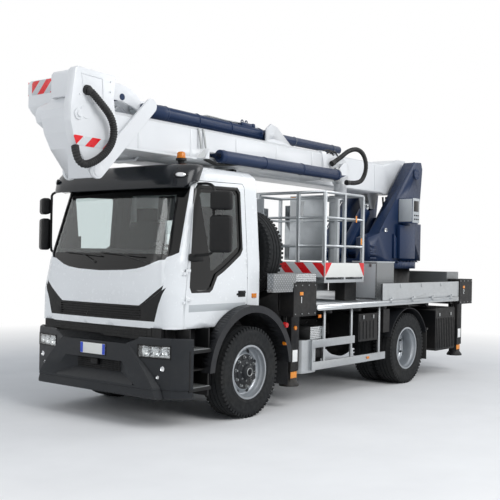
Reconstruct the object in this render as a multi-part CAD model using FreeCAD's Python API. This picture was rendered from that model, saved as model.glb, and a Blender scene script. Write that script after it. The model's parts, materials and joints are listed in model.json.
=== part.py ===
# Cherry picker truck: two-axle day-cab lorry with a slewing turret, two telescopic booms lying side by side,
# a work basket and four outriggers.
# Millimetres. Every x below is measured forward from the front axle; save() moves the whole part so that its
# origin lies on the ground in the middle of its length. +X is forward, +Y is the vehicle's left, +Z is up.
import FreeCAD, Part
import math
import os

V = FreeCAD.Vector
os.makedirs("parts", exist_ok=True)

# Driving dimensions of the lorry
front_reach = 2340.0
rear_reach = 5840.0
front_axle_x = (rear_reach - front_reach) / 2.0
wheelbase = 3690.0
tyre_radius = 510.0
axle_z = tyre_radius
tyre_width = 285.0
bead_radius = 292.0
track_outer_y = 1165.0
twin_gap = 50.0
seat_gap = 0.3
run_gap = 6.0
hub_bore_radius = 141.0
disc_thickness = 14.0
drum_radius = 205.0
frame_outer_y = 425.0
frame_top_z = 960.0
frame_height = 240.0
frame_front_x = 1000.0
frame_rear_x = -5480.0
frame_web = 9.0
frame_flange = 75.0
front_member_x = 900.0
king_pin_y = 880.0
king_pin_radius = 24.0
front_stub_radius = 45.0
rear_stub_radius = 60.0
stub_depth = 110.0
front_hub_y = 954.5
rear_hub_y = 639.5
spring_y = 400.0

# Cab
cab_rear_x = -280.0
cab_front_x = 1240.0
cab_half_width = 1075.0
cab_roof_half_width = 985.0
cab_bottom_z = 1040.0
cab_floor_z = 1200.0
cab_belt_z = 1720.0
cab_roof_z = 2765.0
cab_wall = 45.0
cab_floor_thickness = 45.0
arch_radius = 690.0
arch_lip = 60.0
door_gap = 6.0
door_rear_x = -30.0
door_front_x = 985.0
door_top_z = 2600.0
glass_thickness = 6.0
glass_inset = 14.0
screen_sill_z = 1745.0
screen_head_z = 2530.0
door_hinge_x = 997.0
door_hinge_y = 1084.0
hinge_radius = 9.0

# Platform body
deck_top_z = 1225.0
deck_edge_height = 70.0
deck_half_width = 1250.0
deck_front_x = -1225.0
deck_rear_x = -5255.0
subframe_top_z = 1150.0
board_height = 233.0
board_thickness = 28.0
board_front_x = -2800.0
board_rear_x = -5240.0
board_hinge_y = 1260.0
board_hinge_z = 1240.0

# What hangs under the deck between the front outriggers and the rear wheels, and behind those
bay_front_x = -1190.0
bay_rear_x = -(wheelbase - tyre_radius - 40.0)
rear_bay_front_x = -(wheelbase + tyre_radius + 90.0)
rear_bay_rear_x = deck_rear_x + 5.0
skirt_y = deck_half_width - 60.0
guard_thickness = 25.0
guard_low_z = 416.0

# Outriggers
front_outrigger_x = -940.0
rear_outrigger_x = -5540.0
beam_width = 240.0
beam_height = 210.0
beam_wall = 12.0
housing_wall = 14.0
beam_middle_z = subframe_top_z + housing_wall + seat_gap + beam_height / 2.0
housing_top_z = beam_middle_z + beam_height / 2.0 + run_gap + housing_wall
beam_length = 1950.0
housing_length = 550.0
housing_end_y = deck_half_width - 220.0
end_box_outer_y = deck_half_width - 4.0
leg_tube = 160.0
leg_inner = 130.0
leg_y = end_box_outer_y - 126.0
leg_tube_bottom_z = 450.0
foot_bottom_z = 270.0
foot_radius = 120.0

# Turret
slew_x = -4800.0
pedestal_radius = 540.0
pedestal_top_z = 1655.0
ring_radius = 630.0
ring_top_z = 1760.0
cheek_inner_y = 300.0
cheek_outer_y = 500.0
boom_hinge_x = -5150.0
boom_hinge_z = 3200.0
hinge_pin_radius = 70.0

# Lower boom
lower_half_width = 230.0
lower_bottom_z = 2850.0
lower_top_z = 3330.0
lower_wall = 12.0
lower_play = 14.0
extend_rod_radius = 36.0
rest_x = -321.0
rest_top_z = lower_bottom_z - 12.0 - run_gap
lower_outer_front_x = 900.0
lower_rear_x = -5000.0
head_front_x = 2160.0
head_top_z = 3550.0
fold_x = front_reach - 190.0
fold_z = 3150.0
fold_pin_radius = 70.0
link_pin_radius = 30.0
lever_pin_radius = 45.0
barrel_pin_radius = 40.0
level_pin_radius = 35.0

# Upper boom, folded back along the left side of the lower one
upper_inner_y = 300.0
upper_outer_y = 655.0
upper_bottom_z = 2865.0
upper_top_z = 3245.0
upper_wall = 10.0
upper_play = 12.0
upper_outer_rear_x = -2230.0
upper_tip_x = -2700.0
level_x = -2790.0
level_z = 3060.0
swing_x = -2890.0
swing_y = 477.0
swing_joint_z = 2735.0
fold_eye_x = 1160.0
fold_eye_z = 3360.0
lever_foot_x = 1880.0
lever_foot_z = 2620.0
link_head_x = 1730.0
link_head_z = 3420.0
fold_barrel_x = -1050.0
fold_barrel_z = 3330.0
fold_barrel_radius = 80.0
fold_rod_radius = 50.0
tip_cylinder_y = 750.0
tip_cylinder_z = upper_bottom_z + 75.0
tip_barrel_radius = 72.0
tip_rod_radius = 32.0

# Lift cylinder between the turret cheeks
lift_foot_x = -3800.0
lift_foot_z = 1900.0
lift_eye_x = -4490.0
lift_eye_z = 2660.0
lift_barrel_radius = 100.0
lift_rod_radius = 60.0
lift_pin_radius = 45.0

# Basket
basket_front_x = -1720.0
basket_rear_x = -2710.0
basket_left_y = 1000.0
basket_right_y = -450.0
basket_floor_z = 1480.0
basket_rail_z = 2680.0
rail_radius = 20.0

placed = []


def save(name, shape):
    """Moves a piece into the part's frame and writes it."""
    moved = shape.copy()
    moved.translate(V(front_axle_x, 0, 0))
    moved.exportStep("parts/" + name + ".step")
    placed.append((name, moved))


def box(x0, x1, y0, y1, z0, z1):
    """A block between two corners given in any order."""
    return Part.makeBox(abs(x1 - x0), abs(y1 - y0), abs(z1 - z0), V(min(x0, x1), min(y0, y1), min(z0, z1)))


def rod(radius, start, end):
    """A round bar from one point to another."""
    direction = V(*end) - V(*start)
    return Part.makeCylinder(radius, direction.Length, V(*start), direction)


def tube(outer, inner, start, end):
    """A round tube from one point to another."""
    return rod(outer, start, end).cut(rod(inner, start, end))


def side_plate(points, y0, y1):
    """An outline in the side view, given as x and z, with thickness across the vehicle."""
    wire = Part.makePolygon([V(x, min(y0, y1), z) for x, z in points] + [V(points[0][0], min(y0, y1), points[0][1])])
    return Part.Face(wire).extrude(V(0, abs(y1 - y0), 0))


def plan_plate(points, z0, z1):
    """An outline in the plan view, given as x and y, with height."""
    wire = Part.makePolygon([V(x, y, min(z0, z1)) for x, y in points] + [V(points[0][0], points[0][1], min(z0, z1))])
    return Part.Face(wire).extrude(V(0, 0, abs(z1 - z0)))


def front_plate(points, x0, x1):
    """An outline in the front view, given as y and z, with length along the vehicle."""
    wire = Part.makePolygon([V(min(x0, x1), y, z) for y, z in points] + [V(min(x0, x1), points[0][0], points[0][1])])
    return Part.Face(wire).extrude(V(abs(x1 - x0), 0, 0))


def rounded(shape, radius, along):
    """Fillets the edges of a block that run along one axis."""
    index = "xyz".index(along)
    edges = []
    for edge in shape.Edges:
        if len(edge.Vertexes) == 2:
            run = edge.Vertexes[1].Point - edge.Vertexes[0].Point
            if abs(run[index]) > 0.999 * run.Length and run.Length > 0.1:
                edges.append(edge)
    return shape.makeFillet(radius, edges)


def flip(shape):
    """The same piece on the other side of the vehicle."""
    return shape.mirror(V(0, 0, 0), V(0, 1, 0))


def both(shape):
    """A piece and its mirror image as one node."""
    return Part.makeCompound([shape, flip(shape)])


def fused(pieces):
    """Joins pieces into one solid without seams."""
    whole = pieces[0]
    if len(pieces) > 1:
        whole = whole.multiFuse(pieces[1:])
    return whole.removeSplitter()


def group(pieces):
    """Separate pieces kept in one node."""
    return Part.makeCompound(pieces)


def turned_y(points, x, z):
    """Turns an outline of radius and y about the crosswise axis through x and z."""
    wire = Part.makePolygon([V(x, y, z + r) for r, y in points] + [V(x, points[0][1], z + points[0][0])])
    return Part.Face(wire).revolve(V(x, 0, z), V(0, 1, 0), 360)


def link_plate(x0, z0, r0, x1, z1, r1, y0, y1):
    """A flat bar with round ends between two crosswise pins."""
    length = math.hypot(x1 - x0, z1 - z0)
    tilt = math.atan2(z1 - z0, x1 - x0)
    spread = math.acos((r0 - r1) / length)
    points = []
    for angle, cx, cz, radius in (
        (tilt + spread, x0, z0, r0),
        (tilt + spread, x1, z1, r1),
        (tilt - spread, x1, z1, r1),
        (tilt - spread, x0, z0, r0),
    ):
        points.append((cx + radius * math.cos(angle), cz + radius * math.sin(angle)))
    web = side_plate(points, y0, y1)
    return fused([web, rod(r0, (x0, y0, z0), (x0, y1, z0)), rod(r1, (x1, y0, z1), (x1, y1, z1))])


# Wheels

def tyre(middle_y, x, width):
    """A tyre with rounded shoulders and four rain grooves."""
    half = width / 2.0
    groove_depth = 11.0
    groove_width = 9.0
    shoulder = 0.62 * half
    points = [(bead_radius, -half + 25), (bead_radius + 45, -half + 6), (bead_radius + 110, -half)]
    points += [(tyre_radius - 45, -half + 10), (tyre_radius - 14, -half + 28), (tyre_radius - 3, -shoulder - 8)]
    for step in (-1, 0, 1):
        y = step * shoulder * 0.62
        points += [(tyre_radius, y - groove_width), (tyre_radius - groove_depth, y - groove_width / 2.0)]
        points += [(tyre_radius - groove_depth, y + groove_width / 2.0), (tyre_radius, y + groove_width)]
    points += [(tyre_radius - 3, shoulder + 8), (tyre_radius - 14, half - 28), (tyre_radius - 45, half - 10)]
    points += [(bead_radius + 110, half), (bead_radius + 45, half - 6), (bead_radius, half - 25)]
    return turned_y([(r, y + middle_y) for r, y in points], x, axle_z)


def rim(middle_y, x, side, dish, crown):
    """A steel disc wheel. side is the way its disc bulges, dish is how far the disc's face lies from the rim's
    middle and crown is how far that face stands proud of the disc's root."""
    outer = bead_radius - seat_gap
    half = tyre_width / 2.0 - 25.0
    face_y = dish * side
    root_y = face_y - side * crown
    points = [(outer, -half), (outer + 12, -half - 6), (outer + 12, -half - 14), (outer - 10, -half - 14)]
    points += [(outer - 18, -half + 20), (outer - 34, -half + 50), (outer - 34, half - 50), (outer - 18, half - 20)]
    points += [(outer - 10, half + 14), (outer + 12, half + 14), (outer + 12, half + 6), (outer, half)]
    points += [(outer - 8, half - 20), (outer - 22, half - 55), (outer - 22, -half + 55), (outer - 8, -half + 20)]
    barrel = turned_y([(r, y + middle_y) for r, y in points], x, axle_z)
    disc = [(outer - 24, root_y), (228, root_y + side * 6), (196, face_y), (hub_bore_radius, face_y)]
    disc += [(hub_bore_radius, face_y - side * disc_thickness), (193, face_y - side * disc_thickness)]
    disc += [(222, root_y - side * 9), (outer - 24, root_y - side * disc_thickness)]
    plate = turned_y([(r, y + middle_y) for r, y in disc], x, axle_z)
    holes = []
    for step in range(8):
        angle = math.radians(45.0 * step + 22.5)
        px = x + 232.0 * math.cos(angle)
        pz = axle_z + 232.0 * math.sin(angle)
        holes.append(rod(20.0, (px, middle_y - 220, pz), (px, middle_y + 220, pz)))
    return fused([barrel, plate]).cut(group(holes))


def hub(x, face_y, side, stack, inner_y, end_reach, end_radius, stub_radius, stub_depth):
    """The hub and drum behind the discs, bored for the axle's stub, with the end that stands out of the wheel."""
    back_y = face_y - side * (stack + seat_gap)
    centre = hub_bore_radius - seat_gap
    end_y = face_y + side * end_reach
    bore = stub_radius + seat_gap
    shell = [(0.01, end_y), (end_radius - 14, end_y), (end_radius, end_y - side * 16)]
    shell += [(end_radius + 10, face_y + side * 22), (centre, face_y + side * 10), (centre, back_y), (190, back_y)]
    shell += [(190, back_y - side * 30), (drum_radius, back_y - side * 60), (drum_radius, inner_y), (bore, inner_y)]
    shell += [(bore, inner_y + side * stub_depth), (0.01, inner_y + side * stub_depth)]
    return turned_y(shell, x, axle_z)


def front_wheel(side, label):
    middle = side * (track_outer_y - tyre_width / 2.0)
    dish = 62.0
    face_y = middle + side * dish
    save("front_tyre_" + label, tyre(middle, 0.0, tyre_width))
    rim_piece = rim(middle, 0.0, side, dish, 42.0)
    hub_piece = hub(0.0, face_y, side, disc_thickness, side * front_hub_y, 70.0, 78.0, front_stub_radius, stub_depth)
    save("front_rim_" + label, group([rim_piece, hub_piece]))


def rear_wheels(side, label):
    """Twin wheels whose discs meet back to back between the tyres."""
    outer = side * (track_outer_y + 12.0 - tyre_width / 2.0)
    inner = outer - side * (tyre_width + twin_gap)
    dish = (tyre_width + twin_gap - seat_gap) / 2.0
    save("rear_tyres_" + label, group([tyre(outer, -wheelbase, tyre_width), tyre(inner, -wheelbase, tyre_width)]))
    outer_rim = rim(outer, -wheelbase, -side, dish, 85.0)
    inner_rim = rim(inner, -wheelbase, side, dish, 85.0)
    face_y = outer - side * (dish - disc_thickness)
    stack = 2.0 * disc_thickness + seat_gap
    hub_piece = hub(-wheelbase, face_y, side, stack, side * rear_hub_y, 130.0, 95.0, rear_stub_radius, stub_depth)
    save("rear_rims_" + label, group([outer_rim, inner_rim, hub_piece]))


# Running gear

def channel_rail():
    """One pressed channel of the chassis, open to the inside."""
    bottom = frame_top_z - frame_height
    outer = box(frame_rear_x, frame_front_x, frame_outer_y - frame_flange, frame_outer_y, bottom, frame_top_z)
    inner = box(frame_rear_x - 1, frame_front_x + 1, frame_outer_y - frame_flange - 1, frame_outer_y - frame_web,
                bottom + frame_web, frame_top_z - frame_web)
    return outer.cut(inner)


def chassis():
    """Two channel rails, their cross members and the posts that the cab stands on."""
    rail = channel_rail()
    pieces = [rail, flip(rail)]
    span = frame_outer_y - frame_web
    bottom = frame_top_z - frame_height
    for x in (front_member_x, -1100.0, -1900.0, -2900.0, -4400.0, -5420.0):
        pieces.append(box(x - 45, x + 45, -span, span, bottom + 55, frame_top_z - 55))
    for x in (960.0, -170.0):
        post = box(x - 30, x + 30, frame_outer_y - frame_flange, frame_outer_y, frame_top_z, cab_floor_z - seat_gap)
        pieces += [post, flip(post)]
    save("chassis_frame", fused(pieces))


def subframe():
    """Box rails, cross bearers and the base plate that carries the turret."""
    rail = box(-660, -rear_reach, 250, 400, frame_top_z, subframe_top_z)
    pieces = [rail, flip(rail)]
    for x in (-1600.0, -2300.0, -3000.0, -3700.0, -4300.0, -5150.0):
        pieces.append(box(x - 40, x + 40, -1180, 1180, subframe_top_z - 45, subframe_top_z))
    for x in (front_outrigger_x, rear_outrigger_x):
        pieces.append(box(x - 200, x + 200, -400, 400, frame_top_z + 20, subframe_top_z))
    pieces.append(box(slew_x - 600, slew_x + 650, -620, 620, subframe_top_z - 80, subframe_top_z))
    pedestal = tube(pedestal_radius, pedestal_radius - 40, (slew_x, 0, subframe_top_z), (slew_x, 0, pedestal_top_z))
    housing_front_x = rear_outrigger_x + housing_length / 2.0
    pieces.append(pedestal.cut(box(housing_front_x, rear_outrigger_x, -600, 600, subframe_top_z, housing_top_z)))
    for index in range(8):
        x = deck_front_x - 180 - index * 520
        pieces.append(box(x - 25, x + 25, -deck_half_width + 61, deck_half_width - 61, subframe_top_z, deck_top_z - 30))
    for x in (front_outrigger_x, rear_outrigger_x):
        pieces.append(outrigger_housing(x))
    save("subframe", fused(pieces))


def engine():
    """Engine and gearbox as one block on its mounts, and the radiator ahead of it."""
    block = box(-200, 640, -330, 330, 560, 1120)
    gearbox = box(-1000, -200, -210, 210, 580, 940)
    mount_y = frame_outer_y - frame_web - seat_gap
    mounts = [box(200, 280, -mount_y, mount_y, 760, 820), box(-820, -760, -mount_y, mount_y, 760, 820)]
    radiator = box(760, front_member_x - 45 - seat_gap, -340, 340, 600, 1150)
    save("engine", group([fused([block, gearbox] + mounts), radiator]))


def springs(axle_x, span, saddle_z):
    """A leaf pack hung under the frame rail on two brackets."""
    front_x = axle_x + span / 2.0
    rear_x = axle_x - span / 2.0
    frame_bottom = frame_top_z - frame_height
    eye_z = frame_bottom - 60
    half_leaf = 36.0
    near_y = spring_y - half_leaf
    far_y = spring_y + half_leaf
    pieces = []
    for leaf in range(4):
        trim = 110.0 * leaf
        drop = 16.0 * leaf
        tip_z = eye_z - drop * 0.2
        points = [(front_x - trim, tip_z + 12), (axle_x, saddle_z + 60 - drop), (rear_x + trim, tip_z + 12)]
        points += [(rear_x + trim, tip_z - 4), (axle_x, saddle_z + 44 - drop), (front_x - trim, tip_z - 4)]
        pieces.append(side_plate(points, near_y, far_y))
    pieces.append(box(axle_x - 60, axle_x + 60, near_y, far_y, saddle_z - 30, saddle_z + 60))
    for x in (front_x, rear_x):
        bracket = [(x - 40, eye_z - 30), (x + 40, eye_z - 30), (x + 70, frame_bottom - seat_gap), (x - 70, frame_bottom - seat_gap)]
        pieces.append(side_plate(bracket, near_y, far_y))
    return fused(pieces)


def front_axle():
    """A dropped beam between the king pins."""
    end = king_pin_y
    half = 45.0
    upper = [(-end, 550), (-end + 60, 550), (-600, 480), (600, 480), (end - 60, 550), (end, 550)]
    lower = [(end, 470), (end - 60, 470), (600, 400), (-600, 400), (-end + 60, 470), (-end, 470)]
    ends = [rod(half, (0, y, 470), (0, y, 550)) for y in (-end, end)]
    bores = [rod(king_pin_radius + seat_gap, (0, y, 300), (0, y, 700)) for y in (-end, end)]
    return fused([front_plate(upper + lower, -half, half)] + ends).cut(group(bores))


def steering_knuckle(side, label):
    """The fork round the beam's end with its king pin and stub axle."""
    y = side * king_pin_y
    pieces = [box(-48, 48, y - 48, y + 48, 436, 462), box(-48, 48, y - 48, y + 48, 558, 600)]
    pieces.append(box(-48, 48, y + side * 40, y + side * 68, 436, 462))
    pieces.append(box(-48, 48, y + side * 40, y + side * 68, 558, 600))
    pieces.append(box(-48, 48, y + side * 51, y + side * 68, 436, 600))
    pieces.append(rod(king_pin_radius, (0, y, 440), (0, y, 596)))
    stub_end = side * (front_hub_y + stub_depth - seat_gap)
    pieces.append(rod(front_stub_radius, (0, y + side * 60, axle_z), (0, stub_end, axle_z)))
    save("steering_knuckle_" + label, fused(pieces))


def rear_axle():
    """Banjo casing, axle tubes with their stubs in the hubs, and the propeller shaft."""
    casing = turned_x([(0.01, -230), (90, -230), (190, -120), (215, 0), (190, 120), (120, 190), (0.01, 190)], 0, axle_z)
    casing.translate(V(-wheelbase, 0, 0))
    stub_end = rear_hub_y + stub_depth - seat_gap
    axle = rod(72, (-wheelbase, -600, axle_z), (-wheelbase, 600, axle_z))
    stub = rod(rear_stub_radius, (-wheelbase, -stub_end, axle_z), (-wheelbase, stub_end, axle_z))
    shaft = rod(45, (-wheelbase + 180, 0, axle_z + 20), (-1050, 0, 690))
    return fused([casing, axle, stub, shaft])


def axles_and_springs():
    """Both axles with the leaf packs that they hang on."""
    front = springs(0.0, 1500.0, 480.0)
    rear = springs(-wheelbase, 1400.0, axle_z + 72)
    save("axles_and_springs", group([fused([front_axle(), front, flip(front)]), fused([rear_axle(), rear, flip(rear)])]))


def turned_x(points, y, z):
    """Turns an outline of radius and x about the lengthwise axis through y and z."""
    wire = Part.makePolygon([V(x, y, z + r) for r, x in points] + [V(points[0][1], y, z + points[0][0])])
    return Part.Face(wire).revolve(V(0, y, z), V(1, 0, 0), 360)


# Cab

def cab_section(z, front, half, corner, inset):
    """One level of the cab: a plan outline with rounded front corners and a slightly bowed front."""
    rear = cab_rear_x + inset
    nose = front - inset
    wide = half - inset
    round_front = corner - inset * 0.5
    bow = 45.0
    edge_x = nose - bow
    rear_round = 45.0
    left_start = V(rear + rear_round, wide, z)
    left_end = V(edge_x - round_front, wide, z)
    left_mid = V(edge_x - round_front * (1 - math.sin(math.pi / 4)), wide - round_front * (1 - math.sin(math.pi / 4)), z)
    left_nose = V(edge_x, wide - round_front, z)
    middle = V(nose, 0, z)
    right_nose = V(edge_x, -(wide - round_front), z)
    right_mid = V(left_mid.x, -left_mid.y, z)
    right_end = V(left_end.x, -wide, z)
    right_start = V(rear + rear_round, -wide, z)
    right_rear = V(rear, -(wide - rear_round), z)
    left_rear = V(rear, wide - rear_round, z)
    cut = rear_round * (1 - math.sin(math.pi / 4))
    edges = [
        Part.makeLine(left_start, left_end),
        Part.Arc(left_end, left_mid, left_nose).toShape(),
        Part.Arc(left_nose, middle, right_nose).toShape(),
        Part.Arc(right_nose, right_mid, right_end).toShape(),
        Part.makeLine(right_end, right_start),
        Part.Arc(right_start, V(rear + cut, -(wide - cut), z), right_rear).toShape(),
        Part.makeLine(right_rear, left_rear),
        Part.Arc(left_rear, V(rear + cut, wide - cut, z), left_start).toShape(),
    ]
    return Part.Wire(edges)


def cab_solid(inset, bottom_drop, top_drop):
    """The cab's outer form, or the same form moved in by a wall's thickness."""
    levels = [
        (cab_bottom_z + bottom_drop, cab_front_x - 12, cab_half_width - 5, 150.0),
        (1400.0, cab_front_x, cab_half_width, 190.0),
        (cab_belt_z, cab_front_x - 45, cab_half_width - 3, 230.0),
        (2560.0, cab_front_x - 285, cab_roof_half_width + 20, 230.0),
        (2700.0 - top_drop * 0.5, cab_front_x - 350, cab_roof_half_width, 230.0),
        (cab_roof_z - top_drop, cab_front_x - 480, cab_roof_half_width - 90, 260.0),
    ]
    wires = [cab_section(z, front, half, corner, inset) for z, front, half, corner in levels]
    return Part.makeLoft(wires, True, True)


def grown_face(points, amount, y):
    """An outline in the side view, made larger or smaller all round, as a face at y."""
    wire = Part.makePolygon([V(x, y, z) for x, z in points] + [V(points[0][0], y, points[0][1])])
    face = Part.Face(wire)
    if abs(amount) > 0.001:
        face = face.makeOffset2D(amount, join=2)
    return face


def side_prism(points, amount, y0, y1):
    return grown_face(points, amount, y0).extrude(V(0, y1 - y0, 0))


door_outline = [
    (door_front_x + 25, cab_bottom_z - 30), (door_front_x + 10, 1400), (door_front_x - 25, cab_belt_z),
    (door_front_x - 195, door_top_z - 60), (door_front_x - 235, door_top_z), (door_rear_x + 30, door_top_z + 20),
    (door_rear_x, door_top_z - 20), (door_rear_x, cab_bottom_z - 30),
]
window_outline = [
    (905, 1500), (890, 1760), (775, 2480), (735, 2520), (110, 2540), (75, 2500), (75, 1900), (110, 1850),
    (400, 1670), (520, 1610), (600, 1470), (640, 1440), (880, 1440),
]


def screen_prism(amount):
    """The windscreen's opening seen from the front, run through the front of the cab."""
    sill = screen_sill_z
    head = screen_head_z
    points = [(-930, sill + 60), (-900, sill + 10), (-700, sill - 10), (700, sill - 10), (900, sill + 10), (930, sill + 60)]
    points += [(860, head - 60), (820, head), (-820, head), (-860, head - 60)]
    wire = Part.makePolygon([V(600, y, z) for y, z in points] + [V(600, points[0][0], points[0][1])])
    face = Part.Face(wire)
    if abs(amount) > 0.001:
        face = face.makeOffset2D(amount, join=2)
    return face.extrude(V(900, 0, 0))


def front_region(points, amount):
    """A region of the cab's front, made smaller or larger all round."""
    face = Part.Face(Part.makePolygon([V(950, y, z) for y, z in points] + [V(950, points[0][0], points[0][1])]))
    if abs(amount) > 0.001:
        face = face.makeOffset2D(amount, join=2)
    return face.extrude(V(450, 0, 0))


# The front's outlines as y and z: the black grille, and the white panel between it and the windscreen
grille_outline = [(-960, 1470), (-800, 1360), (-640, 1270), (640, 1270), (800, 1360), (960, 1470), (800, 1110), (-800, 1110)]
panel_side_y = 915.0
panel_outline = [
    (-panel_side_y, 1755), (-800, 1700), (-580, 1625), (580, 1625), (800, 1700), (panel_side_y, 1755),
    (panel_side_y, 1440), (800, 1360), (640, 1270), (-640, 1270), (-800, 1360), (-panel_side_y, 1440),
]


def door_hinges(side):
    """Two outside hinges for one door, as the leaves on the cab and the leaves on the door."""
    fixed = []
    moving = []
    axis_y = side * door_hinge_y
    inside_y = side * (door_hinge_y - 36)
    for base_z, edge_x in ((1300.0, 998.0), (1600.0, 971.0)):
        half_z = base_z + 30.0
        fixed.append(box(edge_x + 8, 1036, inside_y, axis_y, base_z, half_z))
        fixed.append(box(door_hinge_x, 1036, side * (door_hinge_y - 7), side * (door_hinge_y + 1), base_z, half_z))
        fixed.append(rod(hinge_radius, (door_hinge_x, axis_y, base_z), (door_hinge_x, axis_y, half_z)))
        moving.append(box(930, edge_x - 10, inside_y, axis_y, half_z + seat_gap, base_z + 60))
        moving.append(box(930, door_hinge_x, side * (door_hinge_y - 7), side * (door_hinge_y + 1), half_z + seat_gap, base_z + 60))
        moving.append(rod(hinge_radius, (door_hinge_x, axis_y, half_z + seat_gap), (door_hinge_x, axis_y, base_z + 60)))
    return fixed, moving


def cab():
    outer = cab_solid(0.0, 0.0, 0.0)
    inner = cab_solid(cab_wall, -5.0, cab_wall)
    skin = outer.cut(inner)
    arch = rod(arch_radius, (0, -1300, axle_z), (0, 1300, axle_z))
    sill = rod(arch_radius + arch_lip, (0, -1300, axle_z), (0, 1300, axle_z))
    sill_clear = rod(arch_radius + arch_lip + door_gap, (0, -1300, axle_z), (0, 1300, axle_z))
    skin = skin.cut(arch)
    pane = cab_solid(glass_inset, -5.0, glass_inset).cut(
        cab_solid(glass_inset + glass_thickness, -6.0, glass_inset + glass_thickness))
    body = skin
    for side, label in ((1, "left"), (-1, "right")):
        prism = side_prism(door_outline, -door_gap / 2.0, side * 800, side * 1200)
        window = side_prism(window_outline, 0.0, side * 800, side * 1200)
        fixed, moving = door_hinges(side)
        save("door_" + label, fused([skin.common(prism).cut(window).cut(sill_clear)] + moving))
        save("door_glass_" + label, pane.common(side_prism(window_outline, -seat_gap, side * 800, side * 1200)))
        body = body.cut(side_prism(door_outline, door_gap / 2.0, side * 800, side * 1200).cut(sill))
        body = body.multiFuse(fixed)
    screen = pane.common(screen_prism(-seat_gap))
    rear_pane = box(cab_rear_x + 15, cab_rear_x + 21, -419.7, 419.7, 1800.3, 2349.7)
    save("cab_glass", group([screen, rear_pane]))

    body = body.cut(screen_prism(0.0)).cut(front_region(grille_outline, 0.0)).cut(front_region(panel_outline, 0.0))
    rear_window = front_plate([(-420, 1800), (420, 1800), (420, 2350), (-420, 2350)], cab_rear_x - 50, cab_rear_x + 100)
    body = body.cut(rear_window)
    floor_inner = cab_solid(cab_wall - 1.0, 0.0, 0.0)
    floor_top = cab_floor_z + cab_floor_thickness
    floor_slab = floor_inner.common(box(cab_rear_x, 1140, -1000, 1000, cab_floor_z, floor_top))
    floor_rear = floor_inner.common(box(cab_rear_x, -60, -1100, 1100, cab_floor_z, floor_top))
    body = body.multiFuse([floor_slab, floor_rear])
    front_panel = skin.common(front_region(panel_outline, -seat_gap))
    save("cab_shell", group([body, front_panel]))
    grille_skin = skin.common(front_region(grille_outline, -seat_gap))
    slots = []
    for row in range(5):
        z = 1130 + row * 26
        slots.append(box(1000, 1300, -640.0, 640.0, z, z + 14))
    lower_grille = box(1170, 1200, -790, 790, 922, cab_bottom_z - seat_gap)
    save("grille", group([grille_skin.cut(group(slots)), lower_grille]))


def visor():
    """The sun visor that wraps the roof's front edge, ahead of the doors."""
    shell = cab_solid(-38.0, 0.0, -30.0).cut(cab_solid(-seat_gap, 0.0, -seat_gap))
    region = side_plate([(840, 2470), (1300, 2440), (1300, 2810), (690, 2810), (690, 2640), (770, 2620)], -1200, 1200)
    save("sun_visor", shell.common(region))


def interior():
    """Two seats, the dashboard and the steering wheel, as one group of plain forms."""
    pieces = []
    top = cab_floor_z + cab_floor_thickness
    for y in (530.0, -530.0):
        base = box(120, 480, y - 200, y + 200, top, top + 220)
        cushion = rounded(box(60, 560, y - 240, y + 240, top + 220, top + 340), 45, "y")
        back = side_plate([(60, top + 340), (170, top + 340), (30, top + 960), (-60, top + 960)], y - 230, y + 230)
        head = box(-70, 20, y - 140, y + 140, top + 960, top + 1130)
        pieces.append(fused([base, cushion, back, head]))
    dash = side_plate([(1000, top), (1090, top + 300), (1080, 1700), (900, 1720), (790, 1640), (780, 1500), (860, 1440), (860, top)],
                      -880, 880)
    pieces.append(dash)
    column = rod(30, (820, 530, 1590), (692, 530, 1777)).cut(dash)
    ring = Part.makeTorus(225, 16, V(0, 0, 0), V(0, 0, 1))
    spoke = box(-210, 210, -18, 18, -10, 10)
    hub_disc = Part.makeCylinder(55, 24, V(0, 0, -12))
    wheel = fused([ring, spoke, hub_disc])
    wheel.rotate(V(0, 0, 0), V(0, 1, 0), -40)
    wheel.translate(V(690, 530, 1780))
    pieces.append(wheel.fuse(column))
    save("cab_interior", group(pieces))


def bumper():
    """The bumper's shell on two brackets, with the pockets for its lamps and the plate's place. Returns a lamp."""
    outer_points = [(1060, 1220), (1235, 1220), (1290, 1185), (1315, 1120), (1340, 640), (1340, -640), (1315, -1120),
                    (1290, -1185), (1235, -1220), (1060, -1220)]
    inner_points = [(1060, 1175), (1215, 1175), (1255, 1120), (1275, 620), (1275, -620), (1255, -1120), (1215, -1175), (1060, -1175)]
    shell = plan_plate(outer_points + inner_points[::-1], 335, 920)
    pocket = box(1180, 1400, 740 - seat_gap, 1160 + seat_gap, 740 - seat_gap, 880 + seat_gap)
    recess = side_plate([(1300, 440), (1400, 420), (1400, 640), (1300, 620)], -430, 430)
    shell = shell.cut(pocket).cut(flip(pocket)).cut(recess)
    pieces = [shell, box(1275, 1299, -440, 440, 420, 650)]
    for side in (1, -1):
        pieces.append(box(frame_front_x + seat_gap, 1285, side * 345, side * frame_outer_y, 745, 900))
    save("front_bumper", fused(pieces))
    return plan_plate([(1190, 740), (1333, 740), (1312, 1120), (1286, 1160), (1190, 1160)], 740, 880)


def mirrors(side, label):
    """A main and a wide mirror on two arms that stand on the door's skin."""
    main = rounded(box(-60, 60, -130, 130, -190, 190), 40, "z")
    wide = rounded(box(-75, 75, -130, 130, -95, 95), 40, "z")
    for piece in (main, wide):
        piece.rotate(V(0, 0, 0), V(0, 0, 1), side * 30)
    main.translate(V(850, side * 1400, 2030))
    wide.translate(V(850, side * 1400, 2370))
    pole = rod(14, (850, side * 1400, 1825), (850, side * 1400, 2485))
    upper_arm = rod(15, (850, side * 1400, 2470), (733, side * 965, 2568))
    lower_arm = rod(15, (850, side * 1400, 1840), (906, side * 1020, 1835))
    whole = fused([main, wide, pole, upper_arm, lower_arm])
    save("mirror_" + label, whole.cut(cab_solid(-seat_gap, 0.0, -seat_gap)))


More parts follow.
